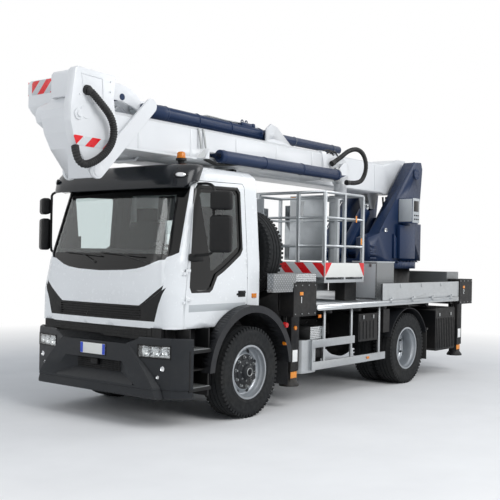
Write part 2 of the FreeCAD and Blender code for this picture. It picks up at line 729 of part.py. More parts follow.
def arch_flares():
    """The flare over one front wheel, the liner behind it, its stay and the mud flap."""
    lip = rod(arch_radius + arch_lip, (0, cab_half_width + 1, axle_z), (0, 1215, axle_z))
    collar = rod(arch_radius - seat_gap, (0, 1010, axle_z), (0, cab_half_width + 2, axle_z))
    ring = fused([lip, collar]).cut(rod(arch_radius - 20, (0, 1000, axle_z), (0, 1230, axle_z)))
    liner = rod(arch_radius - 4, (0, 640, axle_z), (0, 1090, axle_z))
    liner = liner.cut(rod(arch_radius - 14, (0, 600, axle_z), (0, 1300, axle_z)))
    below = box(-900, 900, 500, 1300, -400, axle_z + 60).fuse(box(-900, -716, 1000, 1300, 0, 900))
    flap = box(-arch_radius + 4, -arch_radius + 14, 720, 1190, 300, axle_z + 80)
    stay = box(-640, -600, frame_outer_y + seat_gap, 660, 780, 820)
    return fused([ring.cut(below), liner.cut(below), flap, stay])


def steps():
    """Two grated steps between the bumper and each front wheel."""
    pieces = [box(700, 1040, 960, 1190, z, z + 35) for z in (400, 790)]
    pieces.append(box(700, 1040, 940, 965, 400, 1030))
    pieces.append(box(1000, 1040, 960, 1190, 400, 825))
    pieces.append(box(760, 960, frame_outer_y + seat_gap, 965, 800, 860))
    save("entry_steps", both(fused(pieces)))


# Body

def spare_wheel():
    """The spare wheel upright behind the cab. Returns the carrier that it is bolted to."""
    middle_x = -500.0
    middle_y = 620.0
    middle_z = 1850.0
    dish = 62.0
    piece = tyre(0.0, 0.0, tyre_width)
    disc = rim(0.0, 0.0, 1, dish, 42.0)
    for shape in (piece, disc):
        shape.translate(V(0, 0, -axle_z))
        shape.rotate(V(0, 0, 0), V(0, 0, 1), 90)
        shape.translate(V(middle_x, middle_y, middle_z))
    save("spare_wheel", group([piece, disc]))
    face_x = middle_x - dish - seat_gap
    post = box(-750, -670, middle_y - 80, middle_y + 80, housing_top_z + seat_gap, middle_z + 100)
    arm = rod(60, (-700, middle_y, middle_z), (face_x - 10, middle_y, middle_z))
    flange = rod(172, (face_x - 16, middle_y, middle_z), (face_x, middle_y, middle_z))
    return fused([post, arm, flange])


def outrigger_housing(x):
    """The cross box that two beams slide in, side by side."""
    half = housing_length / 2.0
    low = beam_middle_z - beam_height / 2.0 - seat_gap
    high = beam_middle_z + beam_height / 2.0 + run_gap
    whole = box(x - half, x + half, -housing_end_y, housing_end_y, low - housing_wall, high + housing_wall)
    for side in (1, -1):
        centre = x + side * (beam_width / 2.0 + 2 * run_gap)
        reach = beam_width / 2.0 + run_gap
        whole = whole.cut(box(centre - reach, centre + reach, -1100, 1100, low, high))
    return whole


def outrigger(x, side, way, beam_name, leg_name):
    """A sliding beam with its end box and leg tube, and the leg in it."""
    centre = x + way * (beam_width / 2.0 + 2 * run_gap)
    half = beam_width / 2.0
    low = beam_middle_z - beam_height / 2.0
    high = beam_middle_z + beam_height / 2.0
    outer_end = side * (end_box_outer_y - 40)
    inner_end = outer_end - side * beam_length
    gap_end = side * (housing_end_y + 8)
    beam = box(centre - half, centre + half, inner_end, gap_end + side * 10, low, high)
    beam = beam.cut(box(centre - half + beam_wall, centre + half - beam_wall, inner_end - side, gap_end,
                        low + beam_wall, high - beam_wall))
    end_box = box(x - 240, x + 240, gap_end, side * end_box_outer_y, 1100, 1500)
    reach = leg_tube / 2.0
    middle = side * leg_y
    sleeve = box(centre - reach, centre + reach, middle - reach, middle + reach, leg_tube_bottom_z, 1500)
    wide = leg_inner / 2.0 + run_gap
    close = leg_inner / 2.0 + seat_gap
    bore = box(centre - wide, centre + wide, middle - wide, middle + wide, leg_tube_bottom_z + 60, 1490)
    mouth = box(centre - close, centre + close, middle - close, middle + close, leg_tube_bottom_z - 1, leg_tube_bottom_z + 61)
    save(beam_name, fused([beam, end_box, sleeve]).cut(bore).cut(mouth))
    leg = box(centre - leg_inner / 2.0, centre + leg_inner / 2.0, middle - leg_inner / 2.0, middle + leg_inner / 2.0,
              foot_bottom_z + 60, 1400)
    foot = Part.makeCone(foot_radius, 70, 70, V(centre, middle, foot_bottom_z + 18), V(0, 0, 1))
    plate = Part.makeCylinder(foot_radius, 18, V(centre, middle, foot_bottom_z))
    save(leg_name, fused([leg, foot, plate]))


def board_hinges(side):
    """The hinge knuckles of one side board, as those on the deck's edge and those on the board."""
    fixed = []
    moving = []
    axis_y = side * board_hinge_y
    inside_y = side * (deck_half_width - 6)
    for index in range(4):
        x = board_front_x - 200.0 - index * 640.0
        middle = x - 60.0
        end = x - 120.0
        fixed.append(box(x, middle, inside_y, side * (board_hinge_y + 4), deck_top_z - 30, board_hinge_z))
        fixed.append(rod(8, (x, axis_y, board_hinge_z), (middle, axis_y, board_hinge_z)))
        moving.append(box(middle - seat_gap, end, inside_y, axis_y, board_hinge_z, board_hinge_z + 30))
        moving.append(rod(8, (middle - seat_gap, axis_y, board_hinge_z), (end, axis_y, board_hinge_z)))
    return fixed, moving


def deck():
    """Aluminium edge rails and the floor plate, open where the turret's pedestal stands."""
    edge_low = deck_top_z - deck_edge_height
    pieces = [box(deck_rear_x, deck_front_x, -deck_half_width, deck_half_width, deck_top_z - 30, deck_top_z)]
    for side in (1, -1):
        pieces.append(box(deck_rear_x, deck_front_x, side * (deck_half_width - 60), side * deck_half_width, edge_low, deck_top_z))
        pieces += board_hinges(side)[0]
    opening = Part.makeCylinder(pedestal_radius + seat_gap, 200, V(slew_x, 0, deck_top_z - 100))
    save("deck", fused(pieces).cut(opening))


def side_board(side, label):
    low = deck_top_z + run_gap
    board = box(board_front_x, board_rear_x, side * (deck_half_width - board_thickness), side * deck_half_width,
                low, low + board_height)
    fixed = board_hinges(side)[0]
    save("side_board_" + label, fused([board] + board_hinges(side)[1]).cut(group(fixed)))


def lockers():
    """Checker plate boxes over the outriggers, and the locker on the deck."""
    low = housing_top_z + seat_gap
    high = 1612.0
    outer_y = deck_half_width - 10.0
    front = [box(-760, -1175, -outer_y, outer_y, low, high)]
    for side in (1, -1):
        front.append(box(-300, -800, side * (outer_y - 90), side * outer_y, low, high))
    front = fused(front)
    for side in (1, -1):
        front = front.cut(box(-1190, -690, side * (housing_end_y - 10), side * (outer_y + 60), 1300, 1510))
    rear_y = housing_end_y - 30.0
    rear = box(slew_x - pedestal_radius - run_gap, -5780, -rear_y, rear_y, low, high)
    save("deck_lockers", group([front, rear, box(-3070, -3570, 600, 1000, deck_top_z, 1760)]))


def under_deck():
    """Tool box, valve box, fuel tank, batteries, heat shield and rear boxes, each on its hanger."""
    # side, first and last share of the bay's length, inner and outer y, bottom and top z, rounding and its edges
    middle_boxes = [
        (1, 0.585, 0.841, 700.0, skirt_y - 30, 690.0, 1060.0, 0.0, "x"),
        (1, 0.908, 0.997, 880.0, skirt_y - 10, 780.0, 1100.0, 0.0, "x"),
        (-1, 0.390, 0.877, 620.0, skirt_y - 60, 480.0, 1000.0, 60.0, "x"),
        (-1, 0.082, 0.338, 620.0, skirt_y - 60, 560.0, 980.0, 0.0, "x"),
        (1, 0.018, 0.190, 650.0, skirt_y - 60, 560.0, 950.0, 60.0, "y"),
    ]
    rear_boxes = [(side, 0.281, 1.0, 700.0, skirt_y, 400.0, 1060.0, 40.0, "y") for side in (1, -1)]
    pieces = []
    for start_x, end_x, boxes in (
        (bay_front_x, bay_rear_x, middle_boxes),
        (rear_bay_front_x, rear_bay_rear_x, rear_boxes),
    ):
        for side, first, last, inner_y, outer_y, low, high, radius, along in boxes:
            x0 = start_x + first * (end_x - start_x)
            x1 = start_x + last * (end_x - start_x)
            piece = box(x0, x1, side * inner_y, side * outer_y, low, high)
            if radius > 0.0:
                piece = rounded(piece, radius, along)
            middle = (x0 + x1) / 2.0
            top = min(high - 50.0, 950.0)
            hanger = box(middle - 30, middle + 30, side * (frame_outer_y + seat_gap), side * (inner_y + 5), top - 60, top)
            pieces.append(fused([piece, hanger]))
    save("under_deck_boxes", group(pieces))


def side_guards():
    """Two rails each side on posts that hang from the deck."""
    span = bay_rear_x - bay_front_x
    lower_end = bay_front_x + 0.933 * span
    upper_end = bay_front_x + 0.513 * span
    inner_y = skirt_y - guard_thickness
    top_z = 788.0
    pieces = []
    for side in (1, -1):
        rails = [box(bay_front_x, lower_end, side * inner_y, side * skirt_y, guard_low_z, guard_low_z + 100),
                 box(bay_front_x, upper_end, side * inner_y, side * skirt_y, top_z - 98, top_z),
                 box(bay_front_x, bay_front_x - guard_thickness, side * (skirt_y - 240), side * skirt_y, guard_low_z, top_z)]
        posts = []
        for share in (0.159, 0.492, 0.867):
            x = bay_front_x + share * span
            posts.append(box(x - 20, x + 20, side * (inner_y - guard_thickness), side * inner_y, guard_low_z,
                             deck_top_z - 30 - seat_gap))
        pieces.append(fused(rails + posts))
    return pieces


def rear_fenders():
    """A curved guard over each pair of rear wheels on its stay."""
    radius = tyre_radius + 70
    shell = rod(radius + 8, (-wheelbase, 560, axle_z), (-wheelbase, 1200, axle_z))
    shell = shell.cut(rod(radius, (-wheelbase, 500, axle_z), (-wheelbase, 1300, axle_z)))
    shell = shell.cut(box(-wheelbase - 900, -wheelbase + 900, 400, 1400, -300, axle_z + 200))
    top = axle_z + radius + 4
    stay = box(-wheelbase - 25, -wheelbase + 25, frame_outer_y + seat_gap, 470, 900, top)
    rise = box(-wheelbase - 25, -wheelbase + 25, frame_outer_y + seat_gap, 640, top - 34, top)
    return fused([shell, stay, rise])


def fenders():
    front = arch_flares()
    rear = rear_fenders()
    save("fenders", group([front, flip(front), rear, flip(rear)]))


def rear_end():
    """The rear bumper bar on its posts. Returns the bar and one lamp cluster."""
    pieces = [box(-5700, -5770, -1020, 1020, 470, 590)]
    for side in (1, -1):
        pieces.append(box(frame_rear_x - seat_gap, -5700, side * 350, side * 420, 500, 800))
    return fused(pieces), box(-5770, -5810, 780, 1010, 480, 580)


def guards_and_lamps():
    front_lamp = bumper()
    rear_bar, rear_lamp = rear_end()
    save("guards", group(side_guards() + [rear_bar]))
    save("lamps", group([front_lamp, flip(front_lamp), rear_lamp, flip(rear_lamp), beacon()]))


# Turret

def turret():
    """Slewing table, two box cheeks that lean back, the plates between them, the pins and the control cabinet."""
    table = Part.makeCylinder(ring_radius, ring_top_z - pedestal_top_z - seat_gap, V(slew_x, 0, pedestal_top_z + seat_gap))
    cheek_points = [(-3650, ring_top_z), (-3650, 2120), (-4010, 2200), (-5130, 3395), (-5350, 3410), (-5400, 3300), (-5340, 2820),
                    (-5240, 2200), (-5240, ring_top_z)]
    cheek = side_plate(cheek_points, cheek_inner_y, cheek_outer_y)
    floor = box(-5240, -3650, -cheek_inner_y, cheek_inner_y, ring_top_z, ring_top_z + 40)
    back = box(-5240, -5200, -cheek_inner_y, cheek_inner_y, ring_top_z, 2500)
    wing = box(-5240, -4620, cheek_outer_y, 570, ring_top_z + 20, 2380)
    pin = rod(hinge_pin_radius, (boom_hinge_x, -cheek_outer_y - 20, boom_hinge_z), (boom_hinge_x, cheek_outer_y + 20, boom_hinge_z))
    foot_pin = rod(lift_pin_radius, (lift_foot_x, -cheek_outer_y - 10, lift_foot_z), (lift_foot_x, cheek_outer_y + 10, lift_foot_z))
    cabinet = box(-4600, -4840, cheek_outer_y, 745, 2380, 2775)
    save("turret_frame", fused([table, cheek, flip(cheek), floor, back, wing, flip(wing), pin, foot_pin, cabinet]))


def lift_cylinder():
    """The boom's lift cylinder, open at its rod's eye."""
    direction = V(lift_eye_x - lift_foot_x, 0, lift_eye_z - lift_foot_z)
    length = direction.Length
    unit = direction / length
    foot = V(lift_foot_x, 0, lift_foot_z)
    barrel_end = length - 150
    barrel = Part.makeCylinder(lift_barrel_radius, barrel_end - 40, foot + unit * 40, unit)
    eye = rod(90, (lift_foot_x, -90, lift_foot_z), (lift_foot_x, 90, lift_foot_z))
    pin_bore = rod(lift_pin_radius + seat_gap, (lift_foot_x, -200, lift_foot_z), (lift_foot_x, 200, lift_foot_z))
    bore = Part.makeCylinder(lift_rod_radius + run_gap, barrel_end - 60 - 120, foot + unit * 120, unit)
    gland = Part.makeCylinder(lift_rod_radius + seat_gap, 200, foot + unit * (barrel_end - 70), unit)
    save("lift_barrel", fused([barrel, eye]).cut(pin_bore).cut(bore).cut(gland))
    bar = Part.makeCylinder(lift_rod_radius, length - 130, foot + unit * 130, unit)
    ring = rod(78, (lift_eye_x, -60, lift_eye_z), (lift_eye_x, 60, lift_eye_z))
    save("lift_rod", fused([bar, ring]).cut(rod(36, (lift_eye_x, -100, lift_eye_z), (lift_eye_x, 100, lift_eye_z))))


# Booms

def box_boom(x0, x1, y0, y1, z0, z1, wall, radius):
    """A hollow boom section with rounded corners."""
    outer = rounded(box(x0, x1, y0, y1, z0, z1), radius, "x")
    inner = rounded(box(x0 - 1, x1 + 1, y0 + wall, y1 - wall, z0 + wall, z1 - wall), max(radius - wall, 8), "x")
    return outer.cut(inner)


def lower_boom():
    """The lower boom's outer section with its root, lugs, wear pads and the barrel of the extension cylinder."""
    half = lower_half_width
    root_x = lower_rear_x + 420
    section = box_boom(lower_rear_x + 300, lower_outer_front_x, -half, half, lower_bottom_z, lower_top_z, lower_wall, 45)
    root = side_plate([(root_x, lower_bottom_z), (root_x, lower_top_z), (-5050, 3440), (-5290, 3440), (-5330, 3380),
                       (-5330, 3120), (-5250, 3050), (-4900, lower_bottom_z)], -half, half)
    root = root.cut(box(root_x - 220, root_x + 80, -half + lower_wall, half - lower_wall, lower_bottom_z + lower_wall,
                        lower_top_z - lower_wall))
    collar = box_boom(lower_outer_front_x - 120, lower_outer_front_x, -half - 15, half + 15, lower_bottom_z - 12, lower_top_z + 15,
                      12, 50)
    bore = rod(hinge_pin_radius + seat_gap, (boom_hinge_x, -600, boom_hinge_z), (boom_hinge_x, 600, boom_hinge_z))
    lugs = []
    for y in (-98, 68):
        lugs.append(side_plate([(lift_eye_x - 150, lower_bottom_z + 5), (lift_eye_x + 150, lower_bottom_z + 5),
                                (lift_eye_x + 60, lift_eye_z - 55), (lift_eye_x - 60, lift_eye_z - 55)], y, y + 30))
    saddle = box(-3560, -3400, -70, 70, lower_top_z - 4, lower_top_z + 60)
    pad = box(lower_outer_front_x - 110, lower_outer_front_x - 5, -140, 140, lower_bottom_z + 1,
              lower_bottom_z + lower_wall + lower_play - seat_gap)
    shoe = box(rest_x - 60, rest_x + 60, -150, 150, lower_bottom_z - 12, lower_bottom_z + 1)
    whole = fused([section, root, collar, saddle, pad, shoe] + lugs)
    cylinder_z = lower_top_z + 122
    barrel = tube(62, 42, (-3520, 0, cylinder_z), (-600, 0, cylinder_z))
    gland = tube(62, extend_rod_radius + seat_gap, (-600, 0, cylinder_z), (-560, 0, cylinder_z))
    cap = rod(62, (-3560, 0, cylinder_z), (-3520, 0, cylinder_z))
    strap = box(-720, -640, -70, 70, lower_top_z - 4, lower_top_z + 75)
    strap = strap.cut(rod(50, (-800, 0, cylinder_z), (-600, 0, cylinder_z)))
    save("lower_boom_outer", fused([whole.cut(bore), barrel, gland, cap, strap]))


def lower_inner():
    """The sliding section and the head that carries the upper boom beside it."""
    half = lower_half_width - lower_wall - lower_play
    low = lower_bottom_z + lower_wall + lower_play
    high = lower_top_z - lower_wall - lower_play
    section = box_boom(-3900, 1400, -half, half, low, high, 10, 32)
    head_points = [(1250, 2900), (1500, 2760), (1640, 2640), (1760, 2610), (1880, 2680), (head_front_x, 3090), (head_front_x, 3480),
                   (head_front_x - 60, head_top_z), (1500, head_top_z), (1250, 3340)]
    far = side_plate(head_points, -290, 240)
    far = far.cut(box(1200, 1500, -half + 10, half - 10, low + 10, high - 10))
    cheek_points = [(fold_x - 260, 3580), (fold_x + 60, 3600), (fold_x + 150, 3540), (fold_x + 170, 3120), (fold_x + 40, 2720),
                    (fold_x - 30, 2640), (fold_x - 120, 2640), (fold_x - 190, 2760), (fold_x - 270, 3000)]
    cheek = side_plate(cheek_points, 712, 820)
    bridge = side_plate([(fold_x - 260, 3470), (fold_x + 60, 3470), (fold_x + 60, 3560), (fold_x - 260, 3560)], 238, 714)
    lug = link_plate(link_head_x, link_head_z, 55, fold_x - 150, 3500, 60, 440, 500)
    link_pin = rod(link_pin_radius, (link_head_x, 372, link_head_z), (link_head_x, 568, link_head_z))
    pin = rod(fold_pin_radius, (fold_x, 238, fold_z), (fold_x, 840, fold_z))
    washers = [rod(105, (fold_x, 238, fold_z), (fold_x, upper_inner_y - seat_gap, fold_z)),
               rod(105, (fold_x, upper_outer_y + seat_gap, fold_z), (fold_x, 714, fold_z))]
    rod_bar = rod(extend_rod_radius, (-3400, 0, lower_top_z + 122), (1450.0, 0, lower_top_z + 122))
    save("lower_boom_inner", fused([section, far, cheek, bridge, lug, link_pin, pin, rod_bar] + washers))


def upper_boom():
    """The upper boom's outer section with its root, pins, brackets, wear pad, shoe and the extension rod."""
    section = box_boom(upper_outer_rear_x, fold_x - 420, upper_inner_y, upper_outer_y, upper_bottom_z, upper_top_z, upper_wall, 40)
    root = side_plate([(fold_x - 430, upper_bottom_z), (fold_x - 430, upper_top_z), (fold_x - 120, fold_z + 195), (fold_x + 90, fold_z + 195),
                       (front_reach, fold_z + 90), (front_reach, fold_z - 90), (fold_x + 90, fold_z - 230), (lever_foot_x + 40, lever_foot_z - 70),
                       (lever_foot_x - 60, lever_foot_z - 60), (lever_foot_x - 110, lever_foot_z + 30)], upper_inner_y, upper_outer_y)
    bore = rod(fold_pin_radius + seat_gap, (fold_x, 200, fold_z), (fold_x, 900, fold_z))
    bracket_points = [(fold_barrel_x - 420, upper_top_z - 6), (fold_barrel_x + 120, upper_top_z - 6), (fold_barrel_x + 110, fold_barrel_z + 70),
                      (fold_barrel_x + 20, fold_barrel_z + 140), (fold_barrel_x - 110, fold_barrel_z + 110)]
    brackets = [side_plate(bracket_points, 335, 360), side_plate(bracket_points, 595, 620)]
    lever_pin = rod(lever_pin_radius, (lever_foot_x, upper_inner_y - 42, lever_foot_z), (lever_foot_x, upper_outer_y + 42, lever_foot_z))
    barrel_pin = rod(barrel_pin_radius, (fold_barrel_x, 320, fold_barrel_z), (fold_barrel_x, 635, fold_barrel_z))
    collar = box_boom(upper_outer_rear_x, upper_outer_rear_x + 110, upper_inner_y - 12, upper_outer_y + 12, upper_bottom_z - 12,
                      upper_top_z + 12, 12, 45)
    pad = box(upper_outer_rear_x + 5, upper_outer_rear_x + 100, upper_inner_y + 60, upper_outer_y - 60, upper_bottom_z + 1,
              upper_bottom_z + upper_wall + upper_play - seat_gap)
    shoe = box(rest_x - 60, rest_x + 60, upper_inner_y + 40, upper_outer_y - 40, rest_top_z + run_gap, upper_bottom_z + 1)
    eye_lug = box(330, 400, upper_outer_y - 4, tip_cylinder_y + 35, tip_cylinder_z - 55, tip_cylinder_z + 55)
    whole = fused([section, root, collar, lever_pin, barrel_pin, eye_lug, pad, shoe] + brackets)
    extend_rod = rod(tip_rod_radius, (-2290, tip_cylinder_y, tip_cylinder_z), (340, tip_cylinder_y, tip_cylinder_z))
    save("upper_boom_outer", fused([whole.cut(bore), extend_rod]))


def upper_inner():
    """The sliding section with its tip fork, level pin and the barrel of the extension cylinder."""
    gap = upper_wall + upper_play
    near_y = upper_inner_y + gap
    far_y = upper_outer_y - gap
    section = box_boom(upper_tip_x, 700, near_y, far_y, upper_bottom_z + gap, upper_top_z - gap, 9, 28)
    fork_points = [(upper_tip_x + 10, upper_bottom_z + 30), (upper_tip_x + 10, upper_top_z - 30), (level_x - 60, level_z + 70), (level_x - 90, level_z),
                   (level_x - 60, level_z - 70)]
    forks = [side_plate(fork_points, near_y, near_y + 30), side_plate(fork_points, far_y - 30, far_y)]
    cap = box(upper_tip_x, upper_tip_x + 20, near_y, far_y, upper_bottom_z + gap, upper_top_z - gap)
    pin = rod(level_pin_radius, (level_x, near_y, level_z), (level_x, far_y, level_z))
    bore = tip_rod_radius + run_gap
    rear_end = (-2340, tip_cylinder_y, tip_cylinder_z)
    gland_start = (90, tip_cylinder_y, tip_cylinder_z)
    barrel = tube(tip_barrel_radius, bore, rear_end, gland_start)
    gland = tube(tip_barrel_radius, tip_rod_radius + seat_gap, gland_start, (120, tip_cylinder_y, tip_cylinder_z))
    cap_end = rod(tip_barrel_radius, (-2380, tip_cylinder_y, tip_cylinder_z), rear_end)
    arm = side_plate([(-2400, upper_bottom_z + 10), (-2300, upper_bottom_z + 10), (-2600, 3130), (-2680, 3130), (-2680, 2960)], 700, 712)
    foot = box(-2690, -2600, far_y, 712, 2960, 3120)
    save("upper_boom_inner", fused([section, cap, pin, barrel, gland, cap_end, arm, foot] + forks))


def fold_mechanism():
    """The lever, the link and the cylinder that fold the upper boom. The three are open at the rod's eye."""
    bores = rod(lever_pin_radius + seat_gap, (lever_foot_x, 200, lever_foot_z), (lever_foot_x, 800, lever_foot_z))
    levers = []
    for y in (254, 666):
        levers.append(link_plate(fold_eye_x, fold_eye_z, 75, lever_foot_x, lever_foot_z, 80, y, y + 32).cut(bores))
    save("fold_lever", group(levers))
    bores = rod(link_pin_radius + seat_gap, (link_head_x, 300, link_head_z), (link_head_x, 700, link_head_z))
    links = []
    for y in (378, 538):
        links.append(link_plate(link_head_x, link_head_z, 62, fold_eye_x, fold_eye_z, 70, y, y + 24).cut(bores))
    save("fold_link", group(links))
    middle_y = (upper_inner_y + upper_outer_y) / 2.0
    start = V(fold_barrel_x, middle_y, fold_barrel_z)
    direction = V(fold_eye_x - fold_barrel_x, 0, fold_eye_z - fold_barrel_z)
    length = direction.Length
    unit = direction / length
    body_end = 1880.0
    barrel = Part.makeCylinder(fold_barrel_radius, body_end - 60, start + unit * 60, unit)
    ring = rod(75, (fold_barrel_x, middle_y - 75, fold_barrel_z), (fold_barrel_x, middle_y + 75, fold_barrel_z))
    bore = Part.makeCylinder(fold_rod_radius + run_gap, body_end - 60 - 160, start + unit * 160, unit)
    gland = Part.makeCylinder(fold_rod_radius + seat_gap, 200, start + unit * (body_end - 70), unit)
    pin_bore = rod(barrel_pin_radius + seat_gap, (fold_barrel_x, 300, fold_barrel_z), (fold_barrel_x, 700, fold_barrel_z))
    save("fold_barrel", fused([barrel, ring]).cut(bore).cut(gland).cut(pin_bore))
    bar = Part.makeCylinder(fold_rod_radius, length - 170, start + unit * 170, unit)
    head = rod(72, (fold_eye_x, middle_y - 45, fold_eye_z), (fold_eye_x, middle_y + 45, fold_eye_z))
    save("fold_rod", fused([bar, head]))


# Basket and what carries it

def tip_bracket():
    """The levelling bracket between the upper boom's tip and the basket's swing column."""
    eye = rod(80, (level_x, 365, level_z), (level_x, 590, level_z))
    web = side_plate([(level_x - 60, level_z + 40), (level_x + 40, level_z - 60), (swing_x + 80, 2860), (swing_x - 90, 2860), (swing_x - 90, 2960)],
                     400, 555)
    head = Part.makeCylinder(95, 130, V(swing_x, swing_y, swing_joint_z))
    neck = box(swing_x - 70, swing_x + 60, 415, 540, 2850, 2900)
    bore = rod(level_pin_radius + seat_gap, (level_x, 300, level_z), (level_x, 700, level_z))
    save("tip_bracket", fused([eye, web, head, neck]).cut(bore))


def basket():
    """Frame of round rails and square posts, floor, kick plates and the back mast."""
    front = basket_front_x
    rear = basket_rear_x
    left = basket_left_y
    right = basket_right_y
    top = basket_rail_z - rail_radius
    r = rail_radius
    pieces = []
    for z in (top, top - 330, 1960):
        if z == top:
            pieces.append(rod(r, (front - r, right + r, z), (front - r, left - r, z)))
            pieces.append(rod(r, (rear + r, right + r, z), (rear + r, left - r, z)))
        else:
            pieces.append(rod(16, (front - r, right + r, z), (front - r, left - r, z)))
            pieces.append(rod(16, (rear + r, right + r, z), (rear + r, left - r, z)))
        pieces.append(rod(r if z == top else 16, (front - r, right + r, z), (rear + r, right + r, z)))
        pieces.append(rod(r if z == top else 16, (front - r, left - r, z), (rear + r, left - r, z)))
    for x in (front - r, (front + rear) / 2.0, rear + r):
        for y in (right + r, left - r):
            pieces.append(box(x - r, x + r, y - r, y + r, basket_floor_z, top))
    for y in (-100.0, 560.0):
        for x in (front - r, rear + r):
            pieces.append(box(x - r, x + r, y - r, y + r, basket_floor_z, top))
    floor = box(front, rear, right, left, basket_floor_z, basket_floor_z + 40)
    kick = box(front, rear, right, left, basket_floor_z + 70, basket_floor_z + 260)
    kick = kick.cut(box(front - 14, rear + 14, right + 14, left - 14, basket_floor_z, basket_floor_z + 400))
    mast = box(rear - 20, rear - 60, 400, 555, 1540, 2690)
    arm = box(rear - 20, swing_x - 60, 400, 555, 2620, 2690)
    column = Part.makeCylinder(75, swing_joint_z - seat_gap - 2619, V(swing_x, swing_y, 2619))
    tie = box(rear - 25, rear + 30, 400, 555, 1540, 1600)
    tie_top = box(rear - 25, rear + 30, 400, 555, top - 60, top)
    panel = box(rear + r, rear + r + 4, -340, 385, 1760, 2560)
    console = box(-1950, -2100, right + r, right + 240, 2300, 2480)
    save("basket", fused(pieces + [floor, kick, mast, arm, column, tie, tie_top, panel, console]))


def rests():
    """The rest behind the cab for the booms, the one under the basket and the spare wheel's carrier."""
    rear = rest_x - 29
    front = rest_x + 29
    outer_y = 760.0
    post_y = outer_y - 60
    beam_low_z = 1150.0
    post_low_z = beam_low_z + 60
    post_high_z = 2730.0
    pad_low_z = post_high_z + 50
    pieces = [
        box(rear, front, -outer_y, outer_y, beam_low_z, post_low_z),
        box(rear, front, -outer_y, outer_y, post_high_z, pad_low_z),
        box(rear, front, -180, 180, pad_low_z, rest_top_z),
        box(rear, front, 330, 625, pad_low_z, rest_top_z),
    ]
    for side in (1, -1):
        pieces.append(box(rear, front, side * post_y, side * outer_y, post_low_z, post_high_z))
        pieces.append(box(rear, front, side * 350, side * frame_outer_y, frame_top_z + seat_gap, beam_low_z))
    basket_rest = box(-2450, -2750, 700, 860, deck_top_z, basket_floor_z - run_gap)
    save("rests", group(pieces + [basket_rest, spare_wheel()]))


def beacon():
    base_z = cab_roof_z + seat_gap
    base = Part.makeCylinder(62, 20, V(600, 800, base_z))
    return fused([base, Part.makeCylinder(52, 50, V(600, 800, base_z + 20))])


# Build everything

for side, label in ((1, "left"), (-1, "right")):
    front_wheel(side, label)
    rear_wheels(side, label)
    steering_knuckle(side, label)
    mirrors(side, label)
    side_board(side, label)
chassis()
subframe()
engine()
axles_and_springs()
cab()
visor()
interior()
fenders()
steps()
outrigger(front_outrigger_x, 1, 1, "beam_front_left", "leg_front_left")
outrigger(front_outrigger_x, -1, -1, "beam_front_right", "leg_front_right")
outrigger(rear_outrigger_x, 1, 1, "beam_rear_left", "leg_rear_left")
outrigger(rear_outrigger_x, -1, -1, "beam_rear_right", "leg_rear_right")
deck()
lockers()
under_deck()
guards_and_lamps()
turret()
lift_cylinder()
lower_boom()
lower_inner()
upper_boom()
upper_inner()
fold_mechanism()
tip_bracket()
basket()
rests()

for name, shape in placed:
    limits = shape.BoundBox
    print(name, len(shape.Solids), shape.isValid(), round(shape.Volume / 1e9, 5),
          [round(v) for v in (limits.XMin, limits.XMax, limits.YMin, limits.YMax, limits.ZMin, limits.ZMax)])
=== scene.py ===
import json
import math

import bmesh
import bpy
from mathutils import Matrix, Vector

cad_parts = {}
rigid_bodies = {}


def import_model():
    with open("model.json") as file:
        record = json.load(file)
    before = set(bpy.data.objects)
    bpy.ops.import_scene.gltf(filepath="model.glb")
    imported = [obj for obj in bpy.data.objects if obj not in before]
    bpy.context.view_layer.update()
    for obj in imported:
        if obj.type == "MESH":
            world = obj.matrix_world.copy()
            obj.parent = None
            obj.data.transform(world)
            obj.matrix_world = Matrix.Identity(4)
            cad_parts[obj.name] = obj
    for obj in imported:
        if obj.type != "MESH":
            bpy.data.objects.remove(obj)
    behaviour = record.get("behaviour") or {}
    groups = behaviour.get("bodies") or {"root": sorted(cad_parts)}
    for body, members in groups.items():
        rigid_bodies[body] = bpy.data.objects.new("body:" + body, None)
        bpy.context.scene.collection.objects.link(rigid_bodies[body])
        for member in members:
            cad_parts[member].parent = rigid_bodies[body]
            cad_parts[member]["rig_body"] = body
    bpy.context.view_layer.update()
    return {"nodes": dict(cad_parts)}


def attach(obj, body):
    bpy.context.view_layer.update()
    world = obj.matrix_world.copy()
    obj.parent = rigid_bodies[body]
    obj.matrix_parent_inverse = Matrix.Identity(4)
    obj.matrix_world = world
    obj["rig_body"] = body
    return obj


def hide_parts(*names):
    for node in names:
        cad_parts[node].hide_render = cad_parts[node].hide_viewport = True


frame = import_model()

bl_info = {
    "name": "Cherry Picker Truck",
    "version": (1, 0, 0),
    "blender": (4, 5, 0),
    "location": "3D View > Sidebar > Truck",
    "description": "Dresses the cherry picker truck's solids with finished surfaces and small parts",
    "category": "Object",
}

# Lengths in this file are millimetres from the front axle, as in the part's source: x forward, y left, z up.
FRONT_AXLE = 1.750
WHEELBASE = 3690.0
AXLE_Z = 510.0
SIDES = ((1, "left"), (-1, "right"))
FRONT_BEAM_X = -940.0
REAR_BEAM_X = -5540.0
# Points closer than this are one, in metres.
WELD = 0.00002
# A face is square to an axis where its normal reaches this share of one, and is large from this many
# square metres.
SQUARE_ON = 0.99999
LARGE_FACE = 0.004
# A leg stands this far before its beam's middle on the left and behind it on the right.
LEG_OFFSET = 132.0
REAR_END_X = -5772.0
DECK_EDGE_Y = 1249.0
# The boom's pins, the rods that slide its sections and the outer face of its head
TURRET_PIN_X = -5150.0
TURRET_PIN_Z = 3200.0
HEAD_PIN_X = 2150.0
HEAD_PIN_Z = 3150.0
LINK_PIN_Z = 3420.0
FAR_ROD_Z = 3452.0
NEAR_ROD_Y = 750.0
NEAR_ROD_Z = 2940.0
CHEEK_FACE_Y = 820.0


# Building helpers

def at(x, y, z):
    """A point given in millimetres from the front axle, as metres in the row's frame."""
    return Vector((x / 1000.0 + FRONT_AXLE, y / 1000.0, z / 1000.0))


